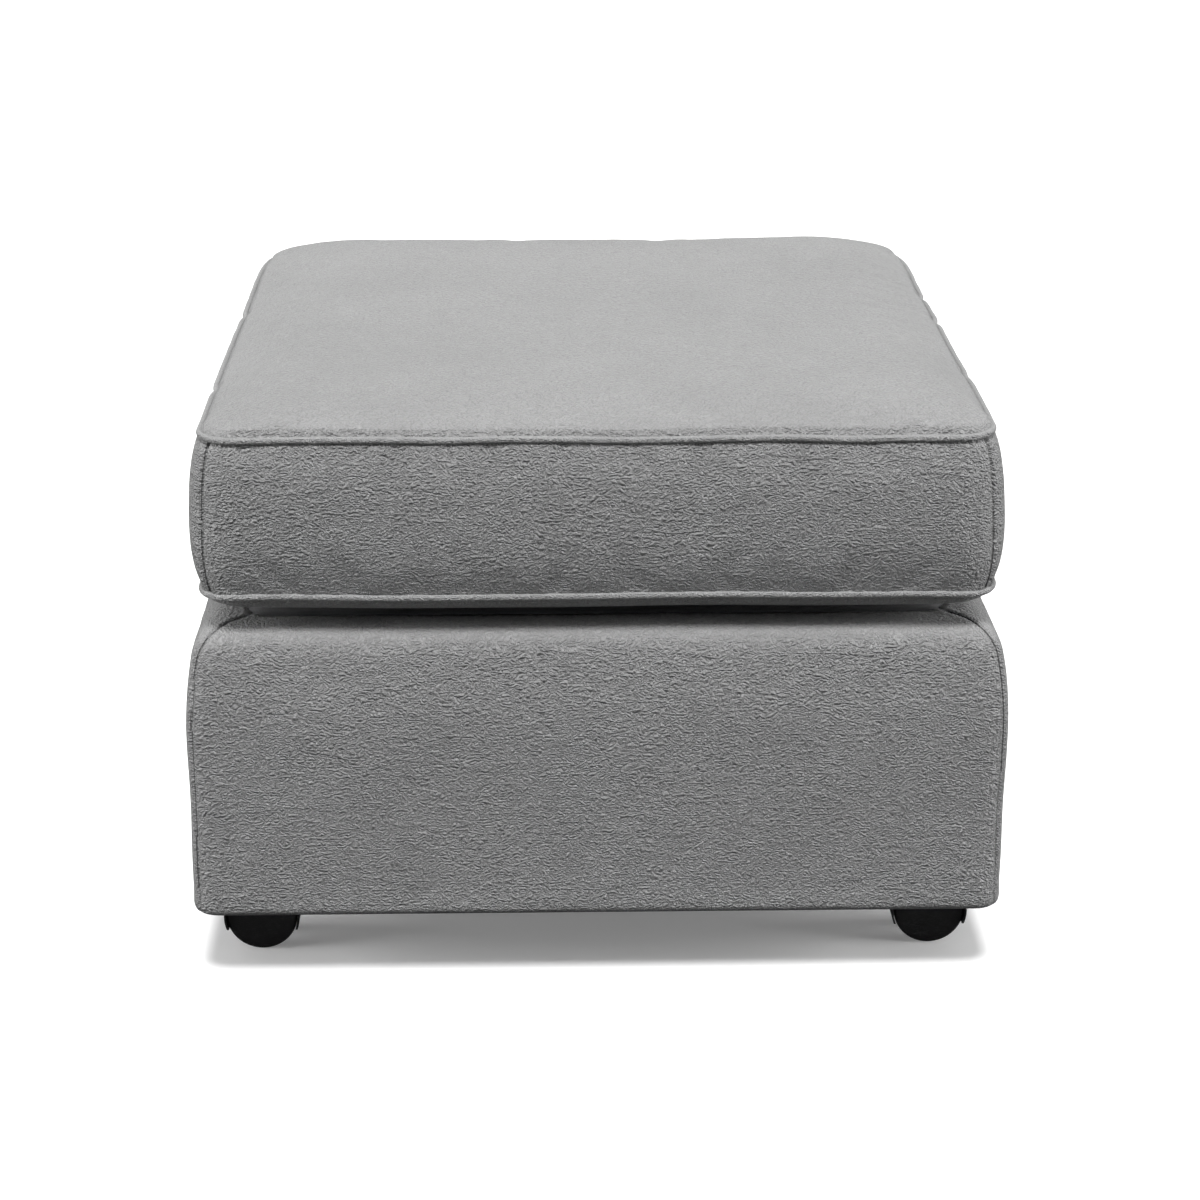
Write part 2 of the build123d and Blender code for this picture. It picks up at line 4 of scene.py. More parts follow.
import bmesh
import bpy
import numpy as np
from bpy.props import FloatProperty, FloatVectorProperty, PointerProperty
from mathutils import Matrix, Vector


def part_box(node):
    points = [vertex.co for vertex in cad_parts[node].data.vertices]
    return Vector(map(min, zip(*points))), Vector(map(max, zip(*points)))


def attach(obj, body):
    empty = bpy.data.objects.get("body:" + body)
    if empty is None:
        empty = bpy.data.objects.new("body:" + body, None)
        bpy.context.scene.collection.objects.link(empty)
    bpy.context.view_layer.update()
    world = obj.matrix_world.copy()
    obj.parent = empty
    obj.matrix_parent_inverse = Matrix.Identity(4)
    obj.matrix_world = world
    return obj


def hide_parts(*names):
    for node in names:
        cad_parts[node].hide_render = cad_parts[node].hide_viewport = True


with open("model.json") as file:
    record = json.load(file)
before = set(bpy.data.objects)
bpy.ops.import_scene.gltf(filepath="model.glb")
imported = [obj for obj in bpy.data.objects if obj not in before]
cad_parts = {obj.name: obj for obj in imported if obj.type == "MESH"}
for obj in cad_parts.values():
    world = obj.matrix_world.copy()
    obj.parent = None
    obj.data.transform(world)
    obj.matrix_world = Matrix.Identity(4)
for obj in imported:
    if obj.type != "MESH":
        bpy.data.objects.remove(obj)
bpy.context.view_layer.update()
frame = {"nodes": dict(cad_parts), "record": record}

bl_info = {
    "name": "Upholstered ottoman",
    "version": (1, 0, 0),
    "blender": (4, 5, 0),
    "location": "View3D > Sidebar > Ottoman",
    "description": "Dresses the frame of a box-cushion ottoman coffee table in leather, thread and hardware",
    "category": "Object",
}

SIDES = ("front", "back", "left", "right")


# Sizes and finishes that a user would change

def length(name, description, default, **limits):
    """A length in metres."""
    return FloatProperty(name=name, description=description, default=default, unit="LENGTH", precision=4, **limits)


def share(name, description, default):
    """A share between nothing and all of it."""
    return FloatProperty(name=name, description=description, default=default, min=0.0, max=1.0, subtype="FACTOR")


def tint(name, description, default):
    """A linear colour."""
    return FloatVectorProperty(name=name, description=description, default=default, min=0.0, max=1.0,
                               subtype="COLOR")


def light_level(name, description, default):
    """The strength of a light."""
    return FloatProperty(name=name, description=description, default=default, min=0.0)


welt_low, welt_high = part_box("welt_top")
foot_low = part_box("welt_bottom")[0]
crown_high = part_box("top_panel")[1]
panel_low, panel_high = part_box("panel_front")
side_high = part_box("panel_right")[1]
WELT = (welt_high.z - welt_low.z) / 2


class OttomanCushion(bpy.types.PropertyGroup):
    half_width: length("Half width", "Seam line to the cushion's middle, across", welt_high.x - WELT)
    half_depth: length("Half depth", "Seam line to the cushion's middle, front to back", welt_high.y - WELT)
    corner: length("Corner radius", "Rounding of the seams at the corners", 0.032)
    lower_seam: length("Lower seam", "Height of the lower welt's centre line", foot_low.z + WELT)
    upper_seam: length("Upper seam", "Height of the upper welt's centre line", welt_low.z + WELT)
    underside: length("Underside", "Height at which the cushion lies on the deck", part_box("bottom_panel")[0].z)
    crown: length("Crown", "Height of the top above the upper seam", crown_high.z - welt_low.z - WELT + 0.0004)
    rise: length("Rise", "How far the top and the underside stand away from their seams at once", 0.0036)
    crown_run: length("Crown run", "Way in from the upper seam to the flat of the crown", 0.132)
    under_run: length("Underside run", "Way in from the lower seam to the flat that rests on the deck", 0.110)
    bulge: length("Bulge", "How far the boxing stands out between its seams at the corners", 0.0086)
    belly: length("Belly", "How far it stands out in the middle of each side", 0.0102)
    sag: length("Sag", "How much wider the cushion is along its lower seam than along its upper one", 0.0050)
    droop: length("Droop", "How far its upper back corners have sunk", 0.0040)
    welt: length("Welt radius", "Radius of the covered cord", WELT)
    cell: length("Cell", "Mesh spacing before the cloth settles", 0.0072, min=0.004)
    give: length("Give", "Farthest that the cloth may move when it settles", 0.0022)
    slack: share("Slack", "Spare leather that wrinkles beside the seams", 0.008)


class OttomanBase(bpy.types.PropertyGroup):
    half_width: length("Half width", "Outer face to the middle, across", side_high.x)
    half_depth: length("Half depth", "Outer face to the middle, front to back", -panel_low.y)
    bottom: length("Lower edge", "Height of the leather's lower edge", panel_low.z)
    top: length("Crest", "Height of the rolled top edge", panel_high.z)
    corner: length("Corner radius", "Rounding of the upright corners", 0.022)
    shoulder: length("Shoulder", "Stretch below the crest in which the sides lean in", 0.091)
    lean: length("Lean radius", "Radius of the slow lean", 0.325)
    roll: length("Roll radius", "Radius of the top edge", 0.030)
    top_return: length("Top return", "How far the leather runs in over the deck", 0.050)
    bottom_return: length("Bottom return", "How far the leather runs in under the frame", 0.034)
    leather: length("Leather", "Thickness of the leather", 0.0014)
    groove: length("Groove", "Depth of the seams at the corners", 0.0019)


class OttomanFinish(bpy.types.PropertyGroup):
    leather: tint("Leather", "Colour of the leather", (0.27, 0.27, 0.27))
    welt: tint("Welt", "Colour of the leather on the cord", (0.27, 0.27, 0.27))
    thread: tint("Thread", "Colour of the topstitching", (0.16, 0.16, 0.16))
    pebble: length("Pebble", "Size of the leather's grain", 0.0038, min=0.001)
    relief: length("Relief", "Height of the leather's grain", 0.0024)
    plastic: tint("Plastic", "Colour of the caster's wheels and hoods", (0.012, 0.012, 0.013))
    steel: tint("Steel", "Colour of bare steel", (0.55, 0.55, 0.56))
    stitch: length("Stitch", "Length of one stitch", 0.0017)
    stitch_gap: length("Stitch gap", "From the start of one stitch to the next", 0.0026)
    thread_radius: length("Thread radius", "Radius of the topstitching thread", 0.00027)
    # Seam colour and radius are for a dark thread laid in the corner seams; it paints the shadow of each seam's gap
    seam: tint("Seam", "Colour of the dark thread in a seam, painted shadow of its gap", (0.05, 0.05, 0.05))
    seam_shadow_radius: length("Seam radius", "Radius of the thread between two joined edges", 0.00036)


class OttomanStage(bpy.types.PropertyGroup):
    floor: share("Floor", "How light the floor is", 0.93)
    glow: share("Glow", "How much the floor is lit beyond the lights", 0.15)
    key: light_level("Key", "Strength of the soft light from above", 3.6)
    side: light_level("Sides", "Strength of the low light from left and right", 2.7)
    back: light_level("Back", "Strength of the surroundings behind", 0.75)
    front: light_level("Front", "Strength of the surroundings in front", 0.06)
    camera: FloatVectorProperty(name="Camera", description="Place of the camera", subtype="TRANSLATION",
                                default=(-0.0506, -2.4035, 1.0898), unit="LENGTH")
    pitch: FloatProperty(name="Pitch", description="How far the camera looks down", default=0.349, subtype="ANGLE")
    turn: FloatProperty(name="Turn", description="How far the camera is turned", default=-0.0207, subtype="ANGLE")
    lens: FloatProperty(name="Lens", description="Focal length on a 36 mm sensor", default=82.75, unit="CAMERA")
    shift: FloatProperty(name="Shift", description="Sideways shift of the lens", default=0.0095)


# Meshes

def piece(name, points, faces, material, body, closed=True):
    """A shaded mesh that rides on a body and takes the finish of a slot."""
    mesh = bpy.data.meshes.new(name)
    mesh.from_pydata(np.asarray(points, float).tolist(), [], [tuple(int(i) for i in f) for f in faces])
    if closed:
        work = bmesh.new()
        work.from_mesh(mesh)
        bmesh.ops.recalc_face_normals(work, faces=work.faces)
        work.to_mesh(mesh)
        work.free()
    mesh.materials.append(material)
    mesh.shade_smooth()
    made = bpy.data.objects.new(name, mesh)
    bpy.context.scene.collection.objects.link(made)
    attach(made, body)
    return made


def quads(rows, columns, around=False, closed=False, start=0):
    """Faces of a sheet of points held row by row; around joins its columns, closed its rows."""
    r = np.arange(rows if closed else rows - 1)
    c = np.arange(columns if around else columns - 1)
    r, c = np.meshgrid(r, c, indexing="ij")
    r, c = r.ravel(), c.ravel()
    r2, c2 = (r + 1) % rows, (c + 1) % columns
    return (start + np.stack([r * columns + c, r * columns + c2, r2 * columns + c2, r2 * columns + c], 1)).tolist()


def rim_of(rows, columns):
    """The outline of a grid of points, in order."""
    index = np.arange(rows * columns).reshape(rows, columns)
    return np.concatenate([index[0, :-1], index[:-1, -1], index[-1, :0:-1], index[:0:-1, 0]])


def between(upper, lower):
    """Faces between two closed loops of as many points."""
    return np.stack([upper, lower, np.roll(lower, -1), np.roll(upper, -1)], 1).tolist()


def two_sided(rows, columns):
    """Faces of two like grids of points, one behind the other and joined round their outlines."""
    count, rim = rows * columns, rim_of(rows, columns)
    behind = [f[::-1] for f in quads(rows, columns, start=count)]
    return quads(rows, columns) + behind + between(rim, rim + count)


def ripple(points, size, seed, waves=10):
    """A soft, even unevenness with a spread of about one, of that wavelength."""
    source = np.random.default_rng(seed)
    total = np.zeros(len(points))
    for _ in range(waves):
        way = source.normal(size=3)
        way *= 2 * pi / (size * source.uniform(0.7, 1.6)) / np.linalg.norm(way)
        total += np.sin(points @ way + source.uniform(0, 2 * pi))
    return total / waves ** 0.5


def smooth_step(x):
    x = np.clip(x, 0, 1)
    return x * x * (3 - 2 * x)


def near_line(points, line, width):
    """How near each point is to a run of straight stretches, one on it and fading over width."""
    best = np.full(len(points), 1e9)
    for a, b in zip(line[:-1], line[1:]):
        a, b = np.array(a, float), np.array(b, float)
        along = np.clip((points - a) @ (b - a) / ((b - a) @ (b - a)), 0, 1)
        best = np.minimum(best, np.linalg.norm(points - a - along[:, None] * (b - a), axis=1))
    return np.exp(-((best / width) ** 2))


def counts_for(half_x, half_y, radius, step):
    """How many steps fit the straight stretches of a rounded rectangle, along and across."""
    return [max(2, round(2 * (half - radius) / step)) for half in (half_x, half_y)]


def ring(half_x, half_y, radius, counts, turns, crowding=1.0, easing=0.0):
    """A rounded rectangle anticlockwise: its points, outward normals and the way to the nearest corner's middle.

    Crowding draws the points of a corner to its middle, easing those of a straight stretch to its ends.
    """
    points, normals, ways = [], [], []
    bend = np.linspace(-1, 1, turns)
    bend = np.sign(bend) * np.abs(bend) ** crowding
    for i in range(4):
        start = i * pi / 2
        centre = ((half_x - radius) * (1, -1, -1, 1)[i], (half_y - radius) * (1, 1, -1, -1)[i])
        for b in bend:
            a = start + pi / 4 * (1 + b)
            normals.append((cos(a), sin(a)))
            points.append((centre[0] + radius * cos(a), centre[1] + radius * sin(a)))
            ways.append(radius * b * pi / 4)
        run = 2 * ((half_x - radius) if i % 2 == 0 else (half_y - radius))
        even = np.linspace(0, 1, counts[i % 2] + 1)[1:-1]
        ahead = (-sin(start + pi / 2), cos(start + pi / 2))
        corner_end = points[-1]
        for d in run * (even - easing * np.sin(2 * pi * even)):
            normals.append(normals[-1])
            points.append((corner_end[0] + ahead[0] * d, corner_end[1] + ahead[1] * d))
            ways.append(d + radius * pi / 4 if d < run / 2 else d - run - radius * pi / 4)
    return np.array(points), np.array(normals), np.array(ways)


def tube(path, normals, radius, sides=14):
    """Points round a closed path whose normals lie level; radius is one number or one a point."""
    angles = np.arange(sides) * 2 * pi / sides
    radius = np.broadcast_to(np.asarray(radius, float), len(path))
    out = np.c_[normals, np.zeros(len(path))]
    up = np.array([0.0, 0.0, 1.0])
    ringed = path[:, None] + radius[:, None, None] * (
        np.cos(angles)[None, :, None] * out[:, None] + np.sin(angles)[None, :, None] * up)
    return ringed.reshape(-1, 3), quads(len(path), sides, around=True, closed=True)


def stitches(name, places, ways, ups, material, body, size, thick):
    """One mesh of short rounded threads, each half sunk in the leather, along ways and standing towards ups."""
    sides, rings = 6, ((-0.5, 0.15), (-0.42, 0.8), (-0.2, 1.0), (0.2, 1.0), (0.42, 0.8), (0.5, 0.15))
    points, faces = [], []
    for place, way, up in zip(places, ways, ups):
        way = way / np.linalg.norm(way)
        up = up - way * (up @ way)
        up /= np.linalg.norm(up)
        side = np.cross(way, up)
        start = len(points)
        for along, fat in rings:
            sink = -thick * 0.9 * (2 * along) ** 4
            for k in range(sides):
                a = 2 * pi * k / sides
                points.append(place + way * along * size + up * (sink + thick * fat * sin(a))
                              + side * thick * fat * cos(a))
        faces += quads(len(rings), sides, around=True, start=start)
        faces.append(tuple(range(start, start + sides)))
        faces.append(tuple(range(start + sides * (len(rings) - 1), start + sides * len(rings))))
    return piece(name, points, faces, material, body)


def at_corners(x, y, z):
    """Places and headings of a run of thread, repeated at all four corners."""
    runs = [np.c_[sx * x, sy * y, z] for sx in (-1, 1) for sy in (-1, 1)]
    return np.concatenate(runs), np.concatenate([np.gradient(run, axis=0) for run in runs])


def sewn(name, cover, places, headings, material, body, size, thick):
    """Threads that lie on a cover at the nearest points to these places."""
    found, facing = on_surface(cover, places)
    return stitches(name, found, headings, facing, material, body, size, thick)


def normals_of(points, columns):
    """Normals of a sheet of points held row by row, all the way round."""
    grid = points.reshape(-1, columns, 3)
    across = np.roll(grid, -1, 1) - np.roll(grid, 1, 1)
    along = np.gradient(grid, axis=0)
    normal = np.cross(across, along)
    normal /= np.maximum(np.linalg.norm(normal, axis=2, keepdims=True), 1e-12)
    return normal.reshape(-1, 3)


# Node trees

def joined(tree, source, target):
    tree.links.new(source, target)


def put(tree, kind, inputs=None, **settings):
    """A node with its settings, and its inputs set or linked by name or number."""
    node = tree.nodes.new(kind)
    for key, value in settings.items():
        setattr(node, key, value)
    for key, value in (inputs or {}).items():
        socket = node.inputs[key]
        if isinstance(value, bpy.types.NodeSocket):
            joined(tree, value, socket)
        else:
            socket.default_value = value
    return node


def sums(tree, operation, a, b=None, c=None, clamp=False):
    """One step of arithmetic on sockets or numbers."""
    inputs = {i: v for i, v in enumerate((a, b, c)) if v is not None}
    return put(tree, "ShaderNodeMath", inputs, operation=operation, use_clamp=clamp).outputs[0]


def ranged(tree, value, low, high, to_low=0.0, to_high=1.0, smooth=True):
    """Brings a value from one range to another."""
    node = put(tree, "ShaderNodeMapRange", {"Value": value, "From Min": low, "From Max": high,
                                            "To Min": to_low, "To Max": to_high})
    node.interpolation_type = "SMOOTHSTEP" if smooth else "LINEAR"
    return node.outputs["Result"]


def mixed(tree, factor, a, b):
    """A colour between two colours."""
    node = put(tree, "ShaderNodeMix", data_type="RGBA")
    for key, value in ((0, factor), (6, a), (7, b)):
        if isinstance(value, bpy.types.NodeSocket):
            joined(tree, value, node.inputs[key])
        else:
            node.inputs[key].default_value = value
    return node.outputs[2]


def group(name, inputs, outputs):
    """A new node group, its inputs' sockets and its output node."""
    tree = bpy.data.node_groups.new(name, "ShaderNodeTree")
    for label, kind, value in inputs:
        socket = tree.interface.new_socket(label, in_out="INPUT", socket_type=kind)
        if value is not None:
            socket.default_value = value
    for label, kind in outputs:
        tree.interface.new_socket(label, in_out="OUTPUT", socket_type=kind)
    return tree, tree.nodes.new("NodeGroupInput").outputs, tree.nodes.new("NodeGroupOutput").inputs


FLOAT, VECTOR, COLOR = "NodeSocketFloat", "NodeSocketVector", "NodeSocketColor"


def stretched(tree, vector, scale, turn=(0, 0, 0)):
    return put(tree, "ShaderNodeMapping", {"Vector": vector, "Scale": scale, "Rotation": turn}).outputs[0]


def nudged(tree, vector, size, reach, detail=2.0):
    """Coordinates pushed about by a noise of that size and reach."""
    clouds = put(tree, "ShaderNodeTexNoise", {"Vector": vector, "Scale": 1 / size, "Detail": detail,
                                              "Roughness": 0.55})
    middle = put(tree, "ShaderNodeVectorMath", {0: clouds.outputs["Color"], 1: (0.5, 0.5, 0.5)},
                 operation="SUBTRACT")
    push = put(tree, "ShaderNodeVectorMath", {0: middle.outputs[0], "Scale": reach}, operation="SCALE")
    return put(tree, "ShaderNodeVectorMath", {0: vector, 1: push.outputs[0]}, operation="ADD").outputs[0]


def noise(tree, vector, scale, detail=0.0, roughness=0.5):
    return put(tree, "ShaderNodeTexNoise", {"Vector": vector, "Scale": scale, "Detail": detail,
                                            "Roughness": roughness}).outputs[0]


def apart(tree, vector):
    """The three parts of a vector."""
    return list(put(tree, "ShaderNodeSeparateXYZ", {0: vector}).outputs)


def upward(tree):
    """How far the surface faces up."""
    return apart(tree, put(tree, "ShaderNodeNewGeometry").outputs["Normal"])[2]


def from_middle(tree, value):
    """How far a noise is from its mean, nothing along its contour lines."""
    return sums(tree, "ABSOLUTE", sums(tree, "SUBTRACT", value, 0.5))


def make_grain():
    """Pebbled leather: level pebbles between sharp hollows, long crossing creases, fine pores and slow clouding."""
    tree, given, out = group(
        "Leather grain",
        [("Vector", VECTOR, None), ("Pebbles", FLOAT, 260.0), ("Creases", FLOAT, 1.0)],
        [("Height", FLOAT), ("Hollow", FLOAT), ("Cloud", FLOAT)])
    x, y, z = apart(tree, given["Vector"])
    upright = ranged(tree, sums(tree, "ABSOLUTE", upward(tree)), 0.45, 0.9, 1.0, 0.0)
    cloud = noise(tree, given["Vector"], 9.0, 4.0, 0.6)

    level = stretched(tree, nudged(tree, given["Vector"], 0.014, 0.0034), (1.0, 1.0, 1.45))
    pebble = from_middle(tree, noise(tree, level, given["Pebbles"], 0.6))
    bead = from_middle(tree, noise(tree, level, sums(tree, "MULTIPLY", given["Pebbles"], 2.3)))
    height = sums(tree, "MULTIPLY_ADD", bead, 1.1, sums(tree, "MULTIPLY", pebble, 3.2))
    swell = noise(tree, level, sums(tree, "MULTIPLY", given["Pebbles"], 0.45), 1.0)
    height = sums(tree, "MULTIPLY_ADD", swell, 0.5, height)

    side_on = put(tree, "ShaderNodeCombineXYZ", {0: sums(tree, "ADD", x, y), 2: z}).outputs[0]
    bent = nudged(tree, side_on, 0.04, 0.012)
    lines = []
    for turn, spread in ((0.62, 62.0), (-0.80, 54.0), (0.12, 40.0)):
        drawn = stretched(tree, bent, (0.20, 1.0, 1.0), (0.0, turn, 0.0))
        line = ranged(tree, from_middle(tree, noise(tree, drawn, spread, 1.0)), 0.0, 0.022, 1.0, 0.0)
        turned = stretched(tree, side_on, (1.0, 1.0, 1.0), (0.0, turn, 0.0))
        there = ranged(tree, noise(tree, turned, spread * 0.35), 0.44, 0.58)
        lines.append(sums(tree, "MULTIPLY", line, there))
    crease = sums(tree, "MAXIMUM", sums(tree, "MAXIMUM", lines[0], lines[1]), lines[2])
    crease = sums(tree, "MULTIPLY", sums(tree, "MULTIPLY", crease, given["Creases"]), upright)
    height = sums(tree, "MULTIPLY_ADD", crease, 0.34, height)
    strength = sums(tree, "MULTIPLY_ADD", cloud, 0.9, 0.45)
    strength = sums(tree, "MULTIPLY", strength, sums(tree, "MULTIPLY_ADD", upright, 0.55, 0.45))
    height = sums(tree, "MULTIPLY", height, strength)
    height = sums(tree, "MULTIPLY_ADD", noise(tree, given["Vector"], 1500.0, 2.0), 0.06, height)
    joined(tree, height, out["Height"])
    # Hollow marks the pebbles' valleys, where the leather finishes paint shade
    joined(tree, ranged(tree, pebble, 0.0, 0.05, 1.0, 0.0), out["Hollow"])
    joined(tree, ranged(tree, cloud, 0.3, 0.7, smooth=False), out["Cloud"])
    return tree


def make_weave():
    """Plain weave: crossing threads, a little uneven, with stray fibres."""
    tree, given, out = group("Plain weave", [("Vector", VECTOR, None), ("Threads", FLOAT, 1200.0)],
                             [("Height", FLOAT), ("Gap", FLOAT), ("Cloud", FLOAT)])
    pushed = nudged(tree, given["Vector"], 0.01, 0.0006)
    runs = [sums(tree, "SINE", sums(tree, "MULTIPLY", way, given["Threads"])) for way in apart(tree, pushed)[:2]]
    crossing = sums(tree, "MULTIPLY", runs[0], runs[1])
    threads = sums(tree, "MAXIMUM", sums(tree, "ABSOLUTE", runs[0]), sums(tree, "ABSOLUTE", runs[1]))
    fuzz = noise(tree, given["Vector"], 900.0, 3.0)
    height = sums(tree, "MULTIPLY_ADD", crossing, 0.35, sums(tree, "MULTIPLY", threads, 0.6))
    joined(tree, sums(tree, "MULTIPLY_ADD", fuzz, 0.25, height), out["Height"])
    joined(tree, sums(tree, "SUBTRACT", 1.0, threads, clamp=True), out["Gap"])
    cloud = noise(tree, given["Vector"], 14.0, 3.0)
    joined(tree, ranged(tree, cloud, 0.3, 0.7, smooth=False), out["Cloud"])
    return tree


def make_wood():
    """Sawn wood: long grain, growth rings and fine pores, along the longer level way of the board."""
    tree, given, out = group("Sawn wood", [("Vector", VECTOR, None), ("Layers", FLOAT, 0.0)],
                             [("Height", FLOAT), ("Ring", FLOAT), ("Layer", FLOAT)])
    pushed = nudged(tree, given["Vector"], 0.15, 0.05)
    long = stretched(tree, pushed, (1.0, 1.0, 14.0))
    rings = noise(tree, long, 9.0, 5.0, 0.65)
    fibre = noise(tree, stretched(tree, given["Vector"], (18.0, 18.0, 420.0)), 3.0, 3.0)
    x, y, _ = apart(tree, given["Vector"])
    plies = sums(tree, "SINE", sums(tree, "MULTIPLY", sums(tree, "ADD", x, y), 2400.0))
    layer = sums(tree, "MULTIPLY", ranged(tree, plies, -0.2, 0.2), given["Layers"])
    joined(tree, ranged(tree, rings, 0.35, 0.65), out["Ring"])
    joined(tree, layer, out["Layer"])
    joined(tree, sums(tree, "MULTIPLY_ADD", fibre, 0.6, sums(tree, "MULTIPLY", rings, 0.4)), out["Height"])
    return tree


def make_wear():
    """Use: fine scratches, smudges and dust that lies on what faces up."""
    tree, given, out = group("Wear", [("Vector", VECTOR, None), ("Size", FLOAT, 60.0)],
                             [("Scratch", FLOAT), ("Smudge", FLOAT), ("Dust", FLOAT)])
    thin = stretched(tree, nudged(tree, given["Vector"], 0.05, 0.01), (2.5, 26.0, 26.0), (0.3, 0.2, 0.7))
    lines = noise(tree, thin, given["Size"], 4.0)
    joined(tree, ranged(tree, lines, 0.56, 0.66), out["Scratch"])
    smudge = noise(tree, given["Vector"], given["Size"], 5.0, 0.7)
    joined(tree, ranged(tree, smudge, 0.35, 0.7), out["Smudge"])
    joined(tree, sums(tree, "MULTIPLY", ranged(tree, upward(tree), 0.3, 1.0), smudge), out["Dust"])
    return tree


def make_fibre():
    """Loose fibre, felt or open foam: tangled lines and small cells."""
    tree, given, out = group("Fibre", [("Vector", VECTOR, None), ("Cells", FLOAT, 500.0)],
                             [("Height", FLOAT), ("Pore", FLOAT), ("Cloud", FLOAT)])
    pushed = nudged(tree, given["Vector"], 0.006, 0.004, 4.0)
    cells = put(tree, "ShaderNodeTexVoronoi", {"Vector": pushed, "Scale": given["Cells"]},
                feature="F1").outputs["Distance"]
    strands = noise(tree, pushed, 260.0, 5.0, 0.7)
    joined(tree, sums(tree, "MULTIPLY_ADD", strands, 0.8, sums(tree, "MULTIPLY", cells, 0.5)), out["Height"])
    joined(tree, ranged(tree, cells, 0.0, 0.35, 1.0, 0.0), out["Pore"])
    cloud = noise(tree, given["Vector"], 11.0, 4.0)
    joined(tree, ranged(tree, cloud, 0.3, 0.7, smooth=False), out["Cloud"])
    return tree


makers = {"grain": make_grain, "weave": make_weave, "wood": make_wood, "wear": make_wear, "fibre": make_fibre}
groups = {}


def effect(tree, name, vector, **inputs):
    """A group node of one of the shared effects."""
    if name not in groups:
        groups[name] = makers[name]()
    node = put(tree, "ShaderNodeGroup", node_tree=groups[name])
    joined(tree, vector, node.inputs["Vector"])
    for key, value in inputs.items():
        node.inputs[key.capitalize()].default_value = value
    return node.outputs


def shades(colour, *factors):
    """The colour, lighter or darker."""
    return [tuple(min(1.0, c * f) for c in colour) + (1.0,) for f in factors]


def finish(name, build, **sockets):
    """A material: build gives its colour, roughness, height and reach; sockets are set on the shader itself."""
    if name in bpy.data.materials:
        return bpy.data.materials[name]
    material = bpy.data.materials.new(name)
    material.use_nodes = True
    tree = material.node_tree
    shader = tree.nodes["Principled BSDF"]
    for key, value in sockets.items():
        shader.inputs[key.replace("_", " ")].default_value = value
    where = put(tree, "ShaderNodeTexCoord").outputs["Object"]
    colour, rough, height, reach = build(tree, where)
    joined(tree, colour, shader.inputs["Base Color"])
    joined(tree, rough, shader.inputs["Roughness"])
    bump = put(tree, "ShaderNodeBump", {"Height": height, "Strength": 1.0, "Distance": reach})
    joined(tree, bump.outputs[0], shader.inputs["Normal"])
    return material


def leather_finish(name, colour, pebble, relief, creases=1.0):
    def build(tree, where):
        grain = effect(tree, "grain", where, pebbles=1 / pebble, creases=creases)
        deep, low, high = shades(colour, 0.62, 0.90, 1.06)
        ground = mixed(tree, grain["Cloud"], low, high)
        # Darker in the grain's hollows: painted shade
        tone = mixed(tree, sums(tree, "MULTIPLY", grain["Hollow"], 0.55), ground, deep)
        rough = sums(tree, "ADD", sums(tree, "MULTIPLY_ADD", grain["Hollow"], 0.14, 0.36),
                     sums(tree, "MULTIPLY", grain["Cloud"], 0.05))
        return tone, rough, grain["Height"], relief
    return finish(name, build, Specular_IOR_Level=0.5)


def woven_finish(name, colour, threads, relief=0.0003):
    def build(tree, where):
        weave = effect(tree, "weave", where, threads=threads)
        dark, low, high = shades(colour, 0.45, 0.88, 1.12)
        # Darker in the gaps between threads: painted shade
        tone = mixed(tree, weave["Gap"], mixed(tree, weave["Cloud"], low, high), dark)
        return tone, sums(tree, "MULTIPLY_ADD", weave["Cloud"], 0.1, 0.82), weave["Height"], relief
    return finish(name, build, Sheen_Weight=0.15)


def soft_finish(name, colour, cells, relief=0.0008):
    def build(tree, where):
        fibre = effect(tree, "fibre", where, cells=cells)
        dark, low, high = shades(colour, 0.6, 0.92, 1.06)
        # Darker in the pores: painted shade
        tone = mixed(tree, sums(tree, "MULTIPLY", fibre["Pore"], 0.5), mixed(tree, fibre["Cloud"], low, high), dark)
        return tone, sums(tree, "MULTIPLY_ADD", fibre["Cloud"], 0.08, 0.88), fibre["Height"], relief
    return finish(name, build)


def wood_finish(name, colour, layers):
    def build(tree, where):
        wood = effect(tree, "wood", where, layers=layers)
        wear = effect(tree, "wear", where)
        dark, low, high = shades(colour, 0.5, 0.8, 1.1)
        tone = mixed(tree, wood["Ring"], low, high)
        tone = mixed(tree, sums(tree, "MULTIPLY", wood["Layer"], 0.4), tone, dark)
        tone = mixed(tree, sums(tree, "MULTIPLY", wear["Smudge"], 0.15), tone, dark)
        return tone, sums(tree, "MULTIPLY_ADD", wood["Ring"], 0.15, 0.6), wood["Height"], 0.0004
    return finish(name, build)


def steel_finish(name, colour, rough):
    def build(tree, where):
        wear = effect(tree, "wear", where, size=120.0)
        dark, low, high = shades(colour, 0.45, 0.85, 1.1)
        tone = mixed(tree, wear["Smudge"], high, low)
        tone = mixed(tree, sums(tree, "MULTIPLY", wear["Dust"], 0.3), tone, dark)
        coarse = sums(tree, "ADD", sums(tree, "MULTIPLY_ADD", wear["Smudge"], 0.2, rough),
                      sums(tree, "MULTIPLY", wear["Scratch"], 0.12))
        return tone, coarse, wear["Scratch"], 0.00008
    return finish(name, build, Metallic=1.0)


def plastic_finish(name, colour, rough):
    def build(tree, where):
        wear = effect(tree, "wear", where, size=90.0)
        moulded = noise(tree, where, 1800.0, 2.0)
        plain, worn, dusty = shades(colour, 1.0, 1.7, 2.6)
        tone = mixed(tree, sums(tree, "MULTIPLY", wear["Scratch"], 0.5), plain, worn)
        tone = mixed(tree, sums(tree, "MULTIPLY", wear["Dust"], 0.35), tone, dusty)
        coarse = sums(tree, "MULTIPLY_ADD", wear["Smudge"], 0.16, rough)
        height = sums(tree, "MULTIPLY_ADD", wear["Scratch"], -0.6, sums(tree, "MULTIPLY", moulded, 0.5))
        return tone, coarse, height, 0.00015
    return finish(name, build)


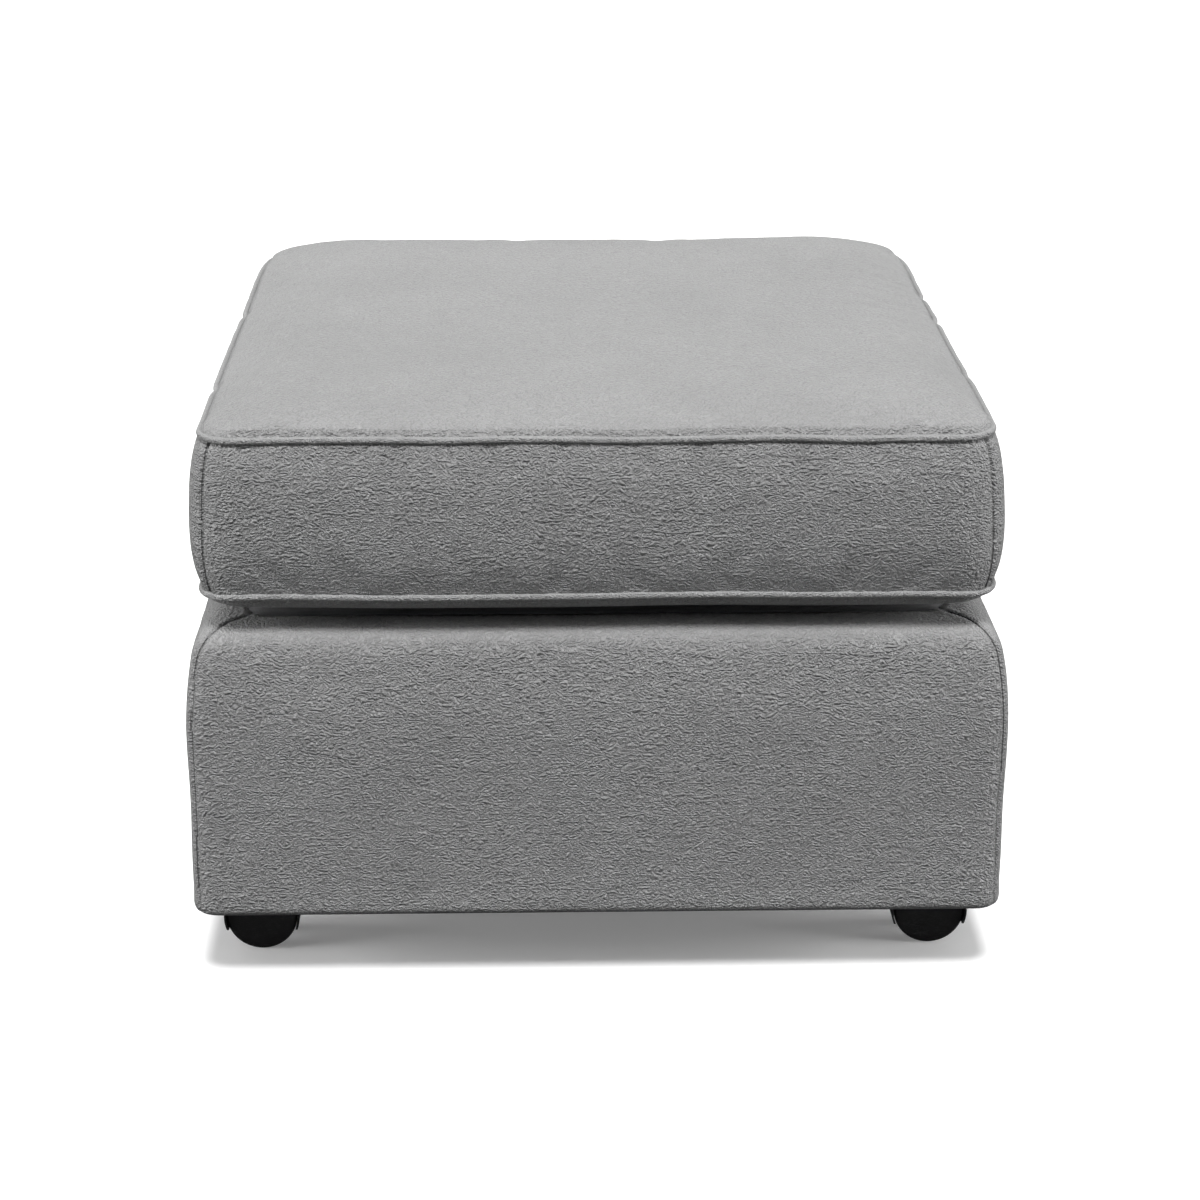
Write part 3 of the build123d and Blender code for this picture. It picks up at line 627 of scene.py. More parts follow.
def thread_finish(name, colour, rough, **sockets):
    def build(tree, where):
        fibre = effect(tree, "fibre", where, cells=2200.0)
        dark, low, high = shades(colour, 0.6, 0.9, 1.25)
        # Darker in the fibre's pores: painted shade
        tone = mixed(tree, fibre["Pore"], mixed(tree, fibre["Cloud"], low, high), dark)
        return tone, sums(tree, "MULTIPLY_ADD", fibre["Cloud"], 0.1, rough), fibre["Height"], 0.0001
    return finish(name, build, **sockets)


def topstitch():
    return thread_finish("Topstitch thread", bpy.context.scene.ottoman_finish.thread, 0.5, Sheen_Weight=0.2)


def seam_shadow_thread():
    """A dark thread laid deep between two joined edges, as painted shadow of the seam's gap."""
    return thread_finish("Seam shadow thread", bpy.context.scene.ottoman_finish.seam, 0.8)


def finish_of(slot):
    """The material of a slot of the frame."""
    look = bpy.context.scene.ottoman_finish
    kind, *how = {
        "leather": (leather_finish, "Pebbled leather", look.leather, look.pebble, look.relief),
        "leather_welt": (leather_finish, "Welt leather", look.welt, look.pebble * 0.8, look.relief * 0.55, 0.5),
        "plywood": (wood_finish, "Plywood", (0.50, 0.36, 0.20), 1.0),
        "timber": (wood_finish, "Timber", (0.44, 0.29, 0.15), 0.0),
        "spring_steel": (steel_finish, "Spring steel", (0.18, 0.18, 0.19), 0.38),
        "fastener_steel": (steel_finish, "Fastener steel", (0.62, 0.60, 0.52), 0.3),
        "caster_steel": (steel_finish, "Caster steel", look.steel, 0.26),
        "zip_metal": (steel_finish, "Zip metal", (0.30, 0.30, 0.31), 0.28),
        "hood_plastic": (plastic_finish, "Hood plastic", look.plastic, 0.34),
        "wheel_plastic": (plastic_finish, "Wheel plastic", look.plastic, 0.44),
        "fibre": (soft_finish, "Fibre fill", (0.80, 0.80, 0.78), 240.0, 0.002),
        "foam": (soft_finish, "Deck foam", (0.75, 0.68, 0.48), 420.0),
        "felt": (soft_finish, "Felt", (0.17, 0.165, 0.155), 700.0),
        "deck_cloth": (woven_finish, "Deck cloth", (0.062, 0.062, 0.065), 2600.0),
        "dust_cloth": (woven_finish, "Dust cloth", (0.020, 0.020, 0.022), 2100.0),
        "zip_tape": (woven_finish, "Zip tape", (0.05, 0.05, 0.052), 3200.0, 0.0002),
    }[slot]
    return kind(*how)


# The cushion

# Pulls in the upper seam's sides: which side, place along it, depth, width
SIDE_PULLS = ((-1, 0.059, 0.0016, 0.010), (-1, -0.189, 0.0018, 0.009), (1, 0.023, 0.0022, 0.010),
              (1, 0.118, 0.0020, 0.009), (1, -0.161, 0.0012, 0.012))
# Dips in the upper seam's front: place along it, depth
FRONT_DIPS = ((0.197, 0.0012), (-0.12, 0.0006), (0.02, 0.0005))
# Creases in the top beside the seams: their line, depth, width
TOP_CREASES = (
    (((-0.294, -0.135), (-0.265, -0.112), (-0.235, -0.079)), 0.0011, 0.006),
    (((-0.299, 0.105), (-0.272, 0.14), (-0.247, 0.164)), 0.0010, 0.007),
    (((-0.300, -0.02), (-0.27, 0.005), (-0.24, 0.012)), 0.0007, 0.006),
    (((0.297, 0.03), (0.268, 0.02), (0.24, 0.035)), 0.0008, 0.006),
    (((0.298, 0.125), (0.27, 0.12), (0.25, 0.10)), 0.0007, 0.006),
    (((-0.2, -0.318), (-0.185, -0.29), (-0.15, -0.262)), 0.0006, 0.007),
    (((0.19, -0.318), (0.17, -0.285), (0.15, -0.255)), 0.0007, 0.008),
)
CLOTH_STEPS = 20


def cushion_drift(points):
    """Where use and hand sewing leave the cushion's lines: sag, sunk corners, wandering seams and their puckers."""
    made = bpy.context.scene.ottoman_cushion
    x, y, z = points.T
    drift = np.stack([ripple(points, 0.23, seed) for seed in (11, 12, 13)], 1) * (0.0006, 0.0006, 0.0008)
    for sx, place, deep, wide in SIDE_PULLS:
        near = np.exp(-(((y - place) / wide) ** 2 + ((x - sx * made.half_width) / 0.02) ** 2
                        + ((z - made.upper_seam) / 0.02) ** 2))
        drift[:, 0] -= sx * deep * near
        drift[:, 2] -= 0.5 * deep * near
    for place, deep in FRONT_DIPS:
        near = np.exp(-(((x - place) / 0.03) ** 2 + ((y + made.half_depth) / 0.05) ** 2
                        + ((z - made.upper_seam) / 0.03) ** 2))
        drift[:, 2] -= deep * near
    low = smooth_step((made.upper_seam - z) / (made.upper_seam - made.lower_seam))
    drift[:, 0] += made.sag * low * np.clip(x / made.half_width, -1, 1)
    for sx in (-1, 1):
        behind = np.exp(-(((x - sx * made.half_width) ** 2 + (y - made.half_depth) ** 2) / 0.055 ** 2))
        high = smooth_step((z - made.lower_seam) / (made.upper_seam - made.lower_seam))
        drift[:, 0] -= sx * 1.1 * made.droop * behind * high
        drift[:, 1] -= 1.1 * made.droop * behind * high
        drift[:, 2] -= made.droop * behind * high
        ahead = np.exp(-(((x - sx * made.half_width) ** 2 + (y + made.half_depth) ** 2) / 0.04 ** 2))
        drift[:, 2] -= 0.4 * made.droop * ahead * low
    free = smooth_step((z - made.underside - 0.001) / 0.015)
    return drift * free[:, None]


def way_in(x, y, run):
    """How far in a point is from the seam towards the flat at the end of run, from nothing to one."""
    made = bpy.context.scene.ottoman_cushion
    low, high = np.zeros(len(x)), np.ones(len(x))
    for _ in range(26):
        middle = (low + high) / 2
        in_x, in_y = made.half_width - run * middle, made.half_depth - run * middle
        radius = made.corner + 0.8 * run * middle
        out_x, out_y = np.abs(x) - in_x + radius, np.abs(y) - in_y + radius
        outside = (np.hypot(np.maximum(out_x, 0), np.maximum(out_y, 0)) + np.minimum(np.maximum(out_x, out_y), 0)
                   > radius)
        high, low = np.where(outside, middle, high), np.where(outside, low, middle)
    return (low + high) / 2


def swell_of(inwards, run, reach, curve, power):
    """How far a face stands away from its seam: at once beside the seam, then easing to its flat."""
    made = bpy.context.scene.ottoman_cushion
    start = 1 - np.exp(-((inwards * run / 0.0022) ** 2))
    return made.rise * start + (reach - made.rise) * (1 - (1 - np.clip(inwards, 0, 1)) ** curve) ** power


def bulge_of(t):
    """How far the boxing stands out at a share of its height, fullest a little above its middle."""
    away = np.where(t < 0.54, (0.54 - t) / 0.54, (t - 0.54) / 0.46)
    return 1 - away ** 2.9


def belly_of(corner_way):
    """How far the boxing stands out at its fullest height, more towards the middle of each side."""
    made = bpy.context.scene.ottoman_cushion
    return made.bulge + (made.belly - made.bulge) * smooth_step((corner_way - 0.02) / 0.16)


def cushion_form():
    """Points, faces and pinned weights of the cushion's closed cover before it settles."""
    made = bpy.context.scene.ottoman_cushion
    edge = np.array([0, 0.0005, 0.0012, 0.0024, 0.0044, 0.0076, 0.0124, 0.0188, 0.0260])

    def lines(half):
        inner = half - edge[-1]
        middle = np.linspace(-inner, inner, round(2 * inner / made.cell) + 1)
        return np.concatenate([edge[:-1] - half, middle, half - edge[:-1][::-1]])

    across, along = lines(made.half_width), lines(made.half_depth)
    rows, columns = len(along), len(across)
    y, x = (g.ravel() for g in np.meshgrid(along, across, indexing="ij"))
    u = (np.abs(x) - made.half_width + made.corner) / made.corner
    v = (np.abs(y) - made.half_depth + made.corner) / made.corner
    turned = (u > 0) & (v > 0)
    flat_x = np.where(turned, np.sign(x) * (made.half_width - made.corner
                                            + made.corner * u * np.sqrt(np.clip(1 - v * v / 2, 0, 1))), x)
    flat_y = np.where(turned, np.sign(y) * (made.half_depth - made.corner
                                            + made.corner * v * np.sqrt(np.clip(1 - u * u / 2, 0, 1))), y)
    crown = swell_of(way_in(flat_x, flat_y, made.crown_run), made.crown_run, made.crown, 2.2, 0.5)
    depth = swell_of(way_in(flat_x, flat_y, made.under_run), made.under_run, made.lower_seam - made.underside,
                     1.6, 0.54)
    top = np.c_[flat_x, flat_y, made.upper_seam + crown]
    under = np.c_[flat_x, flat_y, made.lower_seam - depth]

    rim = rim_of(rows, columns)
    rim_xy = top[rim, :2]
    reach_x = np.clip(np.abs(rim_xy[:, 0]) - made.half_width + made.corner, 0, None) * np.sign(rim_xy[:, 0])
    reach_y = np.clip(np.abs(rim_xy[:, 1]) - made.half_depth + made.corner, 0, None) * np.sign(rim_xy[:, 1])
    outward = np.c_[reach_x, reach_y]
    outward /= np.linalg.norm(outward, axis=1, keepdims=True)
    turn = np.arctan2(np.abs(reach_y), np.abs(reach_x))
    straight = np.minimum(np.abs(np.abs(rim_xy[:, 0]) - (made.half_width - made.corner)),
                          np.abs(np.abs(rim_xy[:, 1]) - (made.half_depth - made.corner)))
    corner_way = np.where((reach_x != 0) & (reach_y != 0), made.corner * np.abs(turn - pi / 4),
                          made.corner * pi / 4 + straight)

    zip_low, zip_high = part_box("zip_chain")
    zip_at = ((zip_low.z + zip_high.z) / 2 - made.lower_seam) / (made.upper_seam - made.lower_seam)
    heights = np.concatenate([
        [0.012, 0.03, 0.06], np.linspace(0.1, zip_at - 0.13, 6),
        zip_at + np.array([-0.095, -0.07, -0.048, 0, 0.048, 0.07, 0.095]),
        np.linspace(zip_at + 0.13, 0.9, 6), [0.935, 0.957, 0.973, 0.988]])
    belt = []
    for t in heights[::-1]:
        out = belly_of(corner_way) * bulge_of(t)
        out -= 0.0018 * np.exp(-((((1 - t) * (made.upper_seam - made.lower_seam) - 0.0035) / 0.0022) ** 2))
        seam = np.exp(-((corner_way / 0.0011) ** 2))
        puff = np.exp(-(((corner_way - 0.0055) / 0.004) ** 2))
        out = out - 0.0027 * seam + 0.0008 * puff
        z = made.lower_seam + (made.upper_seam - made.lower_seam) * t
        belt.append(np.c_[rim_xy + outward * out[:, None], np.full(len(rim), z)])
    belt = np.concatenate(belt)

    points = np.concatenate([top, belt, under])
    count, around = rows * columns, len(rim)
    faces = quads(rows, columns)
    faces += [tuple(f[::-1]) for f in quads(rows, columns, start=count + len(belt))]
    rows_between = [count + i * around + np.arange(around) for i in range(len(heights))]
    loops = [rim, *rows_between, rim + count + len(belt)]
    for upper, lower in zip(loops[:-1], loops[1:]):
        faces += between(upper, lower)
    pinned = np.zeros(len(points))
    pinned[rim] = 1
    pinned[count + len(belt):] = 1
    pinned[count:count + len(belt)] = np.tile(0.55 * np.exp(-((corner_way / 0.003) ** 2)), len(heights))
    return points, faces, pinned


def zip_channel(points):
    """Presses the back boxing in along the zip, so that its tape, teeth and slider lie open."""
    low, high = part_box("zip_chain")
    above = points[:, 2] - (low.z + high.z) / 2
    beside = np.where(above < 0, -0.33 * above, above)
    beyond = np.abs(points[:, 0]) - high.x
    near = (1 - smooth_step((beside - 0.0068) / 0.0058)) * (1 - smooth_step((beyond - 0.012) / 0.008))
    near *= points[:, 1] > 0.8 * low.y
    points[:, 1] += near * np.minimum(low.y + 0.0003 - points[:, 1], 0)
    return points


def settle(made_piece, pinned):
    """Inflates the cover as cloth between its sewn lines, then limits how far it has moved."""
    made = bpy.context.scene.ottoman_cushion
    held = made_piece.vertex_groups.new(name="Sewn")
    for value in np.unique(pinned.round(3)):
        if value > 0:
            held.add(np.nonzero(pinned.round(3) == value)[0].tolist(), float(value), "REPLACE")
    before = np.array([v.co for v in made_piece.data.vertices])
    cloth = made_piece.modifiers.new("Settling", "CLOTH")
    how = cloth.settings
    how.quality = 6
    how.mass = 0.4
    how.tension_stiffness = how.compression_stiffness = 22
    how.shear_stiffness = 12
    how.bending_stiffness = 1.2
    how.air_damping = 4
    how.use_pressure = True
    how.uniform_pressure_force = 3.2
    how.vertex_group_mass = "Sewn"
    how.pin_stiffness = 3
    how.shrink_min = how.shrink_max = -made.slack
    how.effector_weights.gravity = 0
    cloth.collision_settings.use_collision = False
    cloth.collision_settings.use_self_collision = False
    scene = bpy.context.scene
    cloth.point_cache.frame_start, cloth.point_cache.frame_end = 1, CLOTH_STEPS
    for step in range(1, CLOTH_STEPS + 1):
        scene.frame_set(step)
    found = made_piece.evaluated_get(bpy.context.evaluated_depsgraph_get()).to_mesh()
    after = np.array([v.co for v in found.vertices])
    made_piece.modifiers.remove(cloth)
    scene.frame_set(1)
    moved = after - before
    far = np.linalg.norm(moved, axis=1, keepdims=True)
    moved *= np.tanh(far / made.give) * made.give / np.maximum(far, 1e-9)
    made_piece.vertex_groups.clear()
    return before + moved


def subdivided(made_piece):
    """Applies one round of subdivision."""
    made_piece.modifiers.new("Finer", "SUBSURF").levels = 1
    bpy.context.view_layer.update()
    finer = bpy.data.meshes.new_from_object(made_piece.evaluated_get(bpy.context.evaluated_depsgraph_get()))
    name = made_piece.data.name
    made_piece.modifiers.clear()
    made_piece.data = finer
    finer.name = name


class OTTOMAN_OT_cushion(bpy.types.Operator):
    """Sews the cushion's cover and fills it"""
    bl_idname = "ottoman.cushion"
    bl_label = "Cushion cover"

    def execute(self, context):
        made = context.scene.ottoman_cushion
        points, faces, pinned = cushion_form()
        cover = piece("cushion_cover", points, faces, finish_of("leather"), "cushion")
        points = settle(cover, pinned)
        top = (points[:, 2] > made.upper_seam + 0.004)
        points[:, 2] += np.where(top, 0.0004 * ripple(points, 0.09, 21), 0)
        level = points * (1, 1, 0)
        for line, deep, wide in TOP_CREASES:
            points[:, 2] -= np.where(top, deep * near_line(level, [(a, b, 0) for a, b in line], wide), 0)
        points += cushion_drift(points)
        points = zip_channel(points)
        cover.data.vertices.foreach_set("co", np.asarray(points, np.float32).ravel())
        cover.data.update()
        subdivided(cover)
        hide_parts("top_panel", "bottom_panel", "cushion_wrap", "cushion_core",
                    *[f"boxing_{side}" for side in SIDES])
        return {"FINISHED"}


class OTTOMAN_OT_welts(bpy.types.Operator):
    """Covers the cords round the cushion's two seams"""
    bl_idname = "ottoman.welts"
    bl_label = "Cushion welts"

    def execute(self, context):
        made = context.scene.ottoman_cushion
        size = made.half_width, made.half_depth, made.corner
        outline, normals, _ = ring(*size, counts_for(*size, step=0.0045), turns=15)
        for name, height, node in (("cushion_welt_top", made.upper_seam, "welt_top"),
                                   ("cushion_welt_bottom", made.lower_seam, "welt_bottom")):
            path = np.c_[outline, np.full(len(outline), height)]
            fat = made.welt * (1 + 0.035 * ripple(path, 0.03, 31))
            points, faces = tube(path, normals, np.minimum(fat, made.welt * 1.06))
            points += cushion_drift(points)
            welt = piece(name, points, faces, finish_of("leather_welt"), "cushion")
            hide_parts(node)
        return {"FINISHED"}


class OTTOMAN_OT_cushion_thread(bpy.types.Operator):
    """Topstitches the cushion beside its welts and down its corners, and lays a dark thread in its corner seams as
    painted shadow
    """
    bl_idname = "ottoman.cushion_thread"
    bl_label = "Cushion stitching"

    def execute(self, context):
        made, look = context.scene.ottoman_cushion, context.scene.ottoman_finish
        cover = bpy.data.objects["cushion_cover"]
        inset, beside, above = 0.0050, 0.0030, 0.0075
        size = made.half_width - inset, made.half_depth - inset, made.corner - inset
        outline, _, _ = ring(*size, counts_for(*size, look.stitch_gap), turns=15)
        lengths = np.r_[0, np.cumsum(np.linalg.norm(np.roll(outline, -1, 0) - outline, axis=1))]
        closed = np.r_[outline, outline[:1]]
        count = round(lengths[-1] / (look.stitch_gap * 1.3))
        at = np.arange(count) * lengths[-1] / count
        row = np.c_[np.interp(at, lengths, closed[:, 0]), np.interp(at, lengths, closed[:, 1]),
                    np.full(count, made.upper_seam + above)]
        high = made.upper_seam - made.lower_seam

        def down_corners(start, end, angle):
            """A run of thread down each corner's seam, as painted seam shadow, or turned beside it by an angle as
            topstitching.
            """
            heights = np.arange(start, high - end, look.stitch_gap)
            reach = made.corner + made.bulge * bulge_of(heights / high)
            return at_corners(made.half_width - made.corner + reach * cos(angle),
                              made.half_depth - made.corner + reach * sin(angle), made.lower_seam + heights)

        places, headings = down_corners(0.007, 0.006, pi / 4 + beside / (made.corner + made.bulge))
        places, headings = np.r_[row, places], np.r_[np.roll(row, -1, 0) - row, headings]
        sewn("cushion_topstitch", cover, places + cushion_drift(places), headings, topstitch(), "cushion",
             look.stitch, look.thread_radius)
        # Dark thread right on each corner's seam: painted shadow of the seam's gap
        places, headings = down_corners(0.0035, 0.003, pi / 4)
        sewn("cushion_seam_shadow", cover, places + cushion_drift(places), headings, seam_shadow_thread(), "cushion",
             look.stitch_gap * 1.35, look.seam_shadow_radius)
        return {"FINISHED"}


def on_surface(target, places):
    """The nearest points of a mesh to these places, and the mesh's normals there."""
    found, facing = [], []
    for place in places:
        _, where, normal, _ = target.closest_point_on_mesh(Vector(place))
        found.append(where)
        facing.append(normal)
    return np.array(found), np.array(facing)


# The base

def base_rows():
    """Inset and height of each row of the base's leather, from its inner foot round the outside to the deck."""
    made = bpy.context.scene.ottoman_base
    turn = asin((made.shoulder - made.roll) / (made.lean - made.roll))
    foot = 0.008
    rows = [(made.bottom_return, made.bottom), (made.bottom_return * 0.6, made.bottom), (0.012, made.bottom)]
    rows += [(foot * (1 - sin(a)), made.bottom + foot * (1 - cos(a))) for a in np.linspace(0, pi / 2, 6)]
    lean_z = made.top - made.shoulder
    rows += [(0, z) for z in np.linspace(made.bottom + foot, lean_z, 25)[1:-1]]
    rows += [(made.lean * (1 - cos(a)), lean_z + made.lean * sin(a)) for a in np.linspace(0, turn, 11)]
    roll_u = made.lean - (made.lean - made.roll) * cos(turn)
    rows += [(roll_u - made.roll * cos(a), made.top - made.roll + made.roll * sin(a))
             for a in np.linspace(turn, pi / 2, 13)[1:]]
    rows += [(u, made.top) for u in np.linspace(roll_u, made.top_return, 4)[1:]]
    return np.array(rows)


def base_radius(inset, height):
    """Rounding of the base's corners, tighter only round the lower edge."""
    made = bpy.context.scene.ottoman_base
    return np.where(height < made.bottom + 0.008, np.maximum(made.corner - inset, 0.003), made.corner)


class OTTOMAN_OT_base(bpy.types.Operator):
    """Upholsters the base in leather, mitred over the roll at its corners"""
    bl_idname = "ottoman.base"
    bl_label = "Base cover"

    def execute(self, context):
        made = context.scene.ottoman_base
        outer = base_rows()
        back = np.gradient(outer, axis=0)
        back = np.c_[-back[:, 1], back[:, 0]] / np.linalg.norm(back, axis=1, keepdims=True)
        if back[len(back) // 3, 0] < 0:
            back = -back
        inner = (outer + back * made.leather)[::-4]
        rows = np.concatenate([outer, inner])
        points, ways = [], []
        for k, (inset, height) in enumerate(rows):
            radius = float(base_radius(inset, height)) - (0.0004 if k >= len(outer) else 0)
            outline, _, way = ring(made.half_width - inset, made.half_depth - inset, radius, (88, 92), turns=17,
                                   crowding=1.8, easing=0.03)
            points.append(np.c_[outline, np.full(len(outline), height)])
            ways.append(way)
        around = len(points[0])
        points, ways = np.concatenate(points), np.concatenate(ways)
        facing = normals_of(points, around)
        shown = len(outer) * around
        sample = len(outer) // 3 * around + around // 2
        if facing[sample] @ (points[sample] * (1, 1, 0)) < 0:
            facing = -facing
        high = points[:, 2]
        crest = smooth_step((made.top - 0.006 - high) / 0.03)
        low = smooth_step((high - made.bottom - 0.004) / 0.02)
        seam = -made.groove * np.exp(-((ways / 0.0010) ** 2))
        seam += 0.0005 * np.exp(-(((np.abs(ways) - 0.005) / 0.003) ** 2))
        soft = 0.0007 * ripple(points * (1, 1, 1.4), 0.16, 41) + 0.0003 * ripple(points, 0.055, 42) - 0.0006
        gathered = 0.0005 * ripple(points * (1, 1, 0.15), 0.035, 43) * smooth_step((high - made.top + 0.055) / 0.03)
        moved = seam * (high > made.bottom + 0.002) + (soft + gathered * 0.8) * crest * low
        moved[shown:] = 0
        points = points + facing * moved[:, None]
        faces = quads(len(rows), around, around=True, closed=True)
        cover = piece("base_cover", points, faces, finish_of("leather"), "base")
        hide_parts("edge_roll", *[f"{kind}_{side}" for kind in ("panel", "padding") for side in SIDES])
        return {"FINISHED"}


class OTTOMAN_OT_base_thread(bpy.types.Operator):
    """Topstitches the base beside its corner seams, and lays a dark thread in those seams as painted shadow"""
    bl_idname = "ottoman.base_thread"
    bl_label = "Base stitching"

    def execute(self, context):
        made, look = context.scene.ottoman_base, context.scene.ottoman_finish
        cover = bpy.data.objects["base_cover"]
        rows = base_rows()
        lengths = np.r_[0, np.cumsum(np.linalg.norm(np.diff(rows, axis=0), axis=1))]
        start = made.bottom_return + 0.012
        at = np.arange(start, lengths[-1] - 0.004, look.stitch_gap)
        inset, height = np.interp(at, lengths, rows[:, 0]), np.interp(at, lengths, rows[:, 1])
        radius = base_radius(inset, height)
        beside = 0.0032
        bend, over = np.minimum(beside / radius, pi / 4), np.maximum(beside - radius * pi / 4, 0)
        runs = []
        for way, over_x, over_y in ((-1, 0, over), (1, over, 0)):
            angle = pi / 4 + way * bend
            runs.append(at_corners(made.half_width - inset - radius + radius * np.cos(angle) - over_x,
                                   made.half_depth - inset - radius + radius * np.sin(angle) - over_y, height))
        places, headings = (np.concatenate(kind) for kind in zip(*runs))
        sewn("base_topstitch", cover, places, headings, topstitch(), "base", look.stitch,
             look.thread_radius)
        # Dark thread sunk in each corner's groove: painted shadow of the seam's gap
        sunk = inset + radius * (1 - cos(pi / 4))
        places, headings = at_corners(made.half_width - sunk, made.half_depth - sunk, height)
        sewn("base_seam_shadow", cover, places, headings, seam_shadow_thread(), "base", look.stitch_gap * 1.35,
             look.seam_shadow_radius)
        return {"FINISHED"}


# Cloths, pads and the zip

def sheet_form(half_x, half_y, top, thickness, rows=46, wander=0.0, seed=51, cut=None):
    """A thin closed cloth with an unevenness that fades at its edges; cut is where its corners are cut off."""
    x = np.linspace(-half_x, half_x, rows)
    y = np.linspace(-half_y, half_y, rows)
    gy, gx = (g.ravel() for g in np.meshgrid(y, x, indexing="ij"))
    if cut is not None:
        over = np.clip((np.abs(gx) + np.abs(gy)) - cut, 0, None) / 2
        gx, gy = gx - np.sign(gx) * over, gy - np.sign(gy) * over
    fade = np.clip((half_x - np.abs(gx)) / 0.05, 0, 1) * np.clip((half_y - np.abs(gy)) / 0.05, 0, 1)
    flat = np.c_[gx, gy, np.zeros(len(gx))]
    z = top + wander * ripple(flat, 0.11, seed) * fade
    points = np.concatenate([np.c_[gx, gy, z], np.c_[gx, gy, z - thickness]])
    return points, two_sided(rows, rows)


def laid(name, node, slot, below, wander, seed):
    """A level layer of the base a little below the top of a node's box, and that box's upper corner."""
    low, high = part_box(node)
    points, faces = sheet_form(high.x, high.y, high.z - below, high.z - low.z - 0.0002, wander=wander, seed=seed)
    return piece(name, points, faces, finish_of(slot), "base"), high


class OTTOMAN_OT_deck(bpy.types.Operator):
    """Lays the deck's pad, felt and cloth"""
    bl_idname = "ottoman.deck"
    bl_label = "Deck"

    def execute(self, context):
        cloth, high = laid("deck_cloth_sheet", "deck_cloth", "deck_cloth", 0.0002, 0.00005, 52)
        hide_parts("deck_cloth")
        pad, _ = laid("deck_pad_foam", "deck_pad", "foam", 0.0001, 0.0001, 53)
        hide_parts("deck_pad")
        felt, high = laid("insulator_felt", "spring_insulator", "felt", 0.0001, 0.00008, 54)
        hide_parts("spring_insulator")
        return {"FINISHED"}


class OTTOMAN_OT_dust_cover(bpy.types.Operator):
    """Stretches the dust cover under the base"""
    bl_idname = "ottoman.dust_cover"
    bl_label = "Dust cover"

    def execute(self, context):
        node = frame["nodes"]["dust_cover"]
        low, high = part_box("dust_cover")
        reach = max(abs(v.co.x) + abs(v.co.y) for v in node.data.vertices)
        points, faces = sheet_form(high.x, high.y, high.z - 0.00005, high.z - low.z - 0.0001, rows=64, cut=reach)
        cloth = piece("dust_cover_sheet", points, faces, finish_of("dust_cloth"), "base")
        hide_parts("dust_cover")
        return {"FINISHED"}


class OTTOMAN_OT_zip(bpy.types.Operator):
    """Lays the zip's tape and teeth in the channel of the back boxing"""
    bl_idname = "ottoman.zip"
    bl_label = "Zip"

    def execute(self, context):
        low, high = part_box("zip_chain")
        middle = (low.z + high.z) / 2
        rows, columns = 7, 85
        x = np.linspace(low.x, high.x, columns)
        z = np.linspace(low.z, high.z, rows)
        gz, gx = (g.ravel() for g in np.meshgrid(z, x, indexing="ij"))
        face = low.y + 0.0012
        front = np.c_[gx, face - 0.00012 * np.abs(np.sin(gx * 700)), gz]
        behind = np.c_[gx, np.full(len(gx), low.y), gz]
        tape = piece("zip_tape", np.concatenate([front, behind]), two_sided(rows, columns),
                     finish_of("zip_tape"), "cushion")
        pitch = 0.0024
        places = np.arange(low.x + pitch, high.x - pitch / 2, pitch)
        points, faces = [], []
        for k, place in enumerate(places):
            side = 1 if k % 2 else -1
            start = len(points)
            tall = high.y - face - 0.0001
            for dx, dy in ((-0.00075, 0), (0.00075, 0), (0.00055, tall), (-0.00055, tall)):
                for dz in (-0.0007, 0.0024):
                    points.append((place + dx, face + dy, middle + side * dz))
            faces += [tuple(start + i for i in f) for f in
                      ((0, 2, 3, 1), (2, 4, 5, 3), (4, 6, 7, 5), (6, 0, 1, 7), (0, 6, 4, 2), (1, 3, 5, 7))]
        teeth = piece("zip_teeth", points, faces, finish_of("zip_metal"), "cushion")
        bevel = teeth.modifiers.new("Edges", "BEVEL")
        bevel.width, bevel.segments = 0.0002, 2
        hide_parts("zip_chain")
        return {"FINISHED"}


# Materials of the nodes that stay

class OTTOMAN_OT_hardware(bpy.types.Operator):
    """Gives the frame, springs, screws, casters and slider their materials"""
    bl_idname = "ottoman.hardware"
    bl_label = "Frame and hardware"

    def execute(self, context):
        for part in frame["record"]["subparts"]:
            node, material = frame["nodes"][part["node"]], finish_of(part["material_slot"])
            for place in node.material_slots:
                place.material = material
            if not node.material_slots:
                node.data.materials.append(material)
        return {"FINISHED"}


# The stage

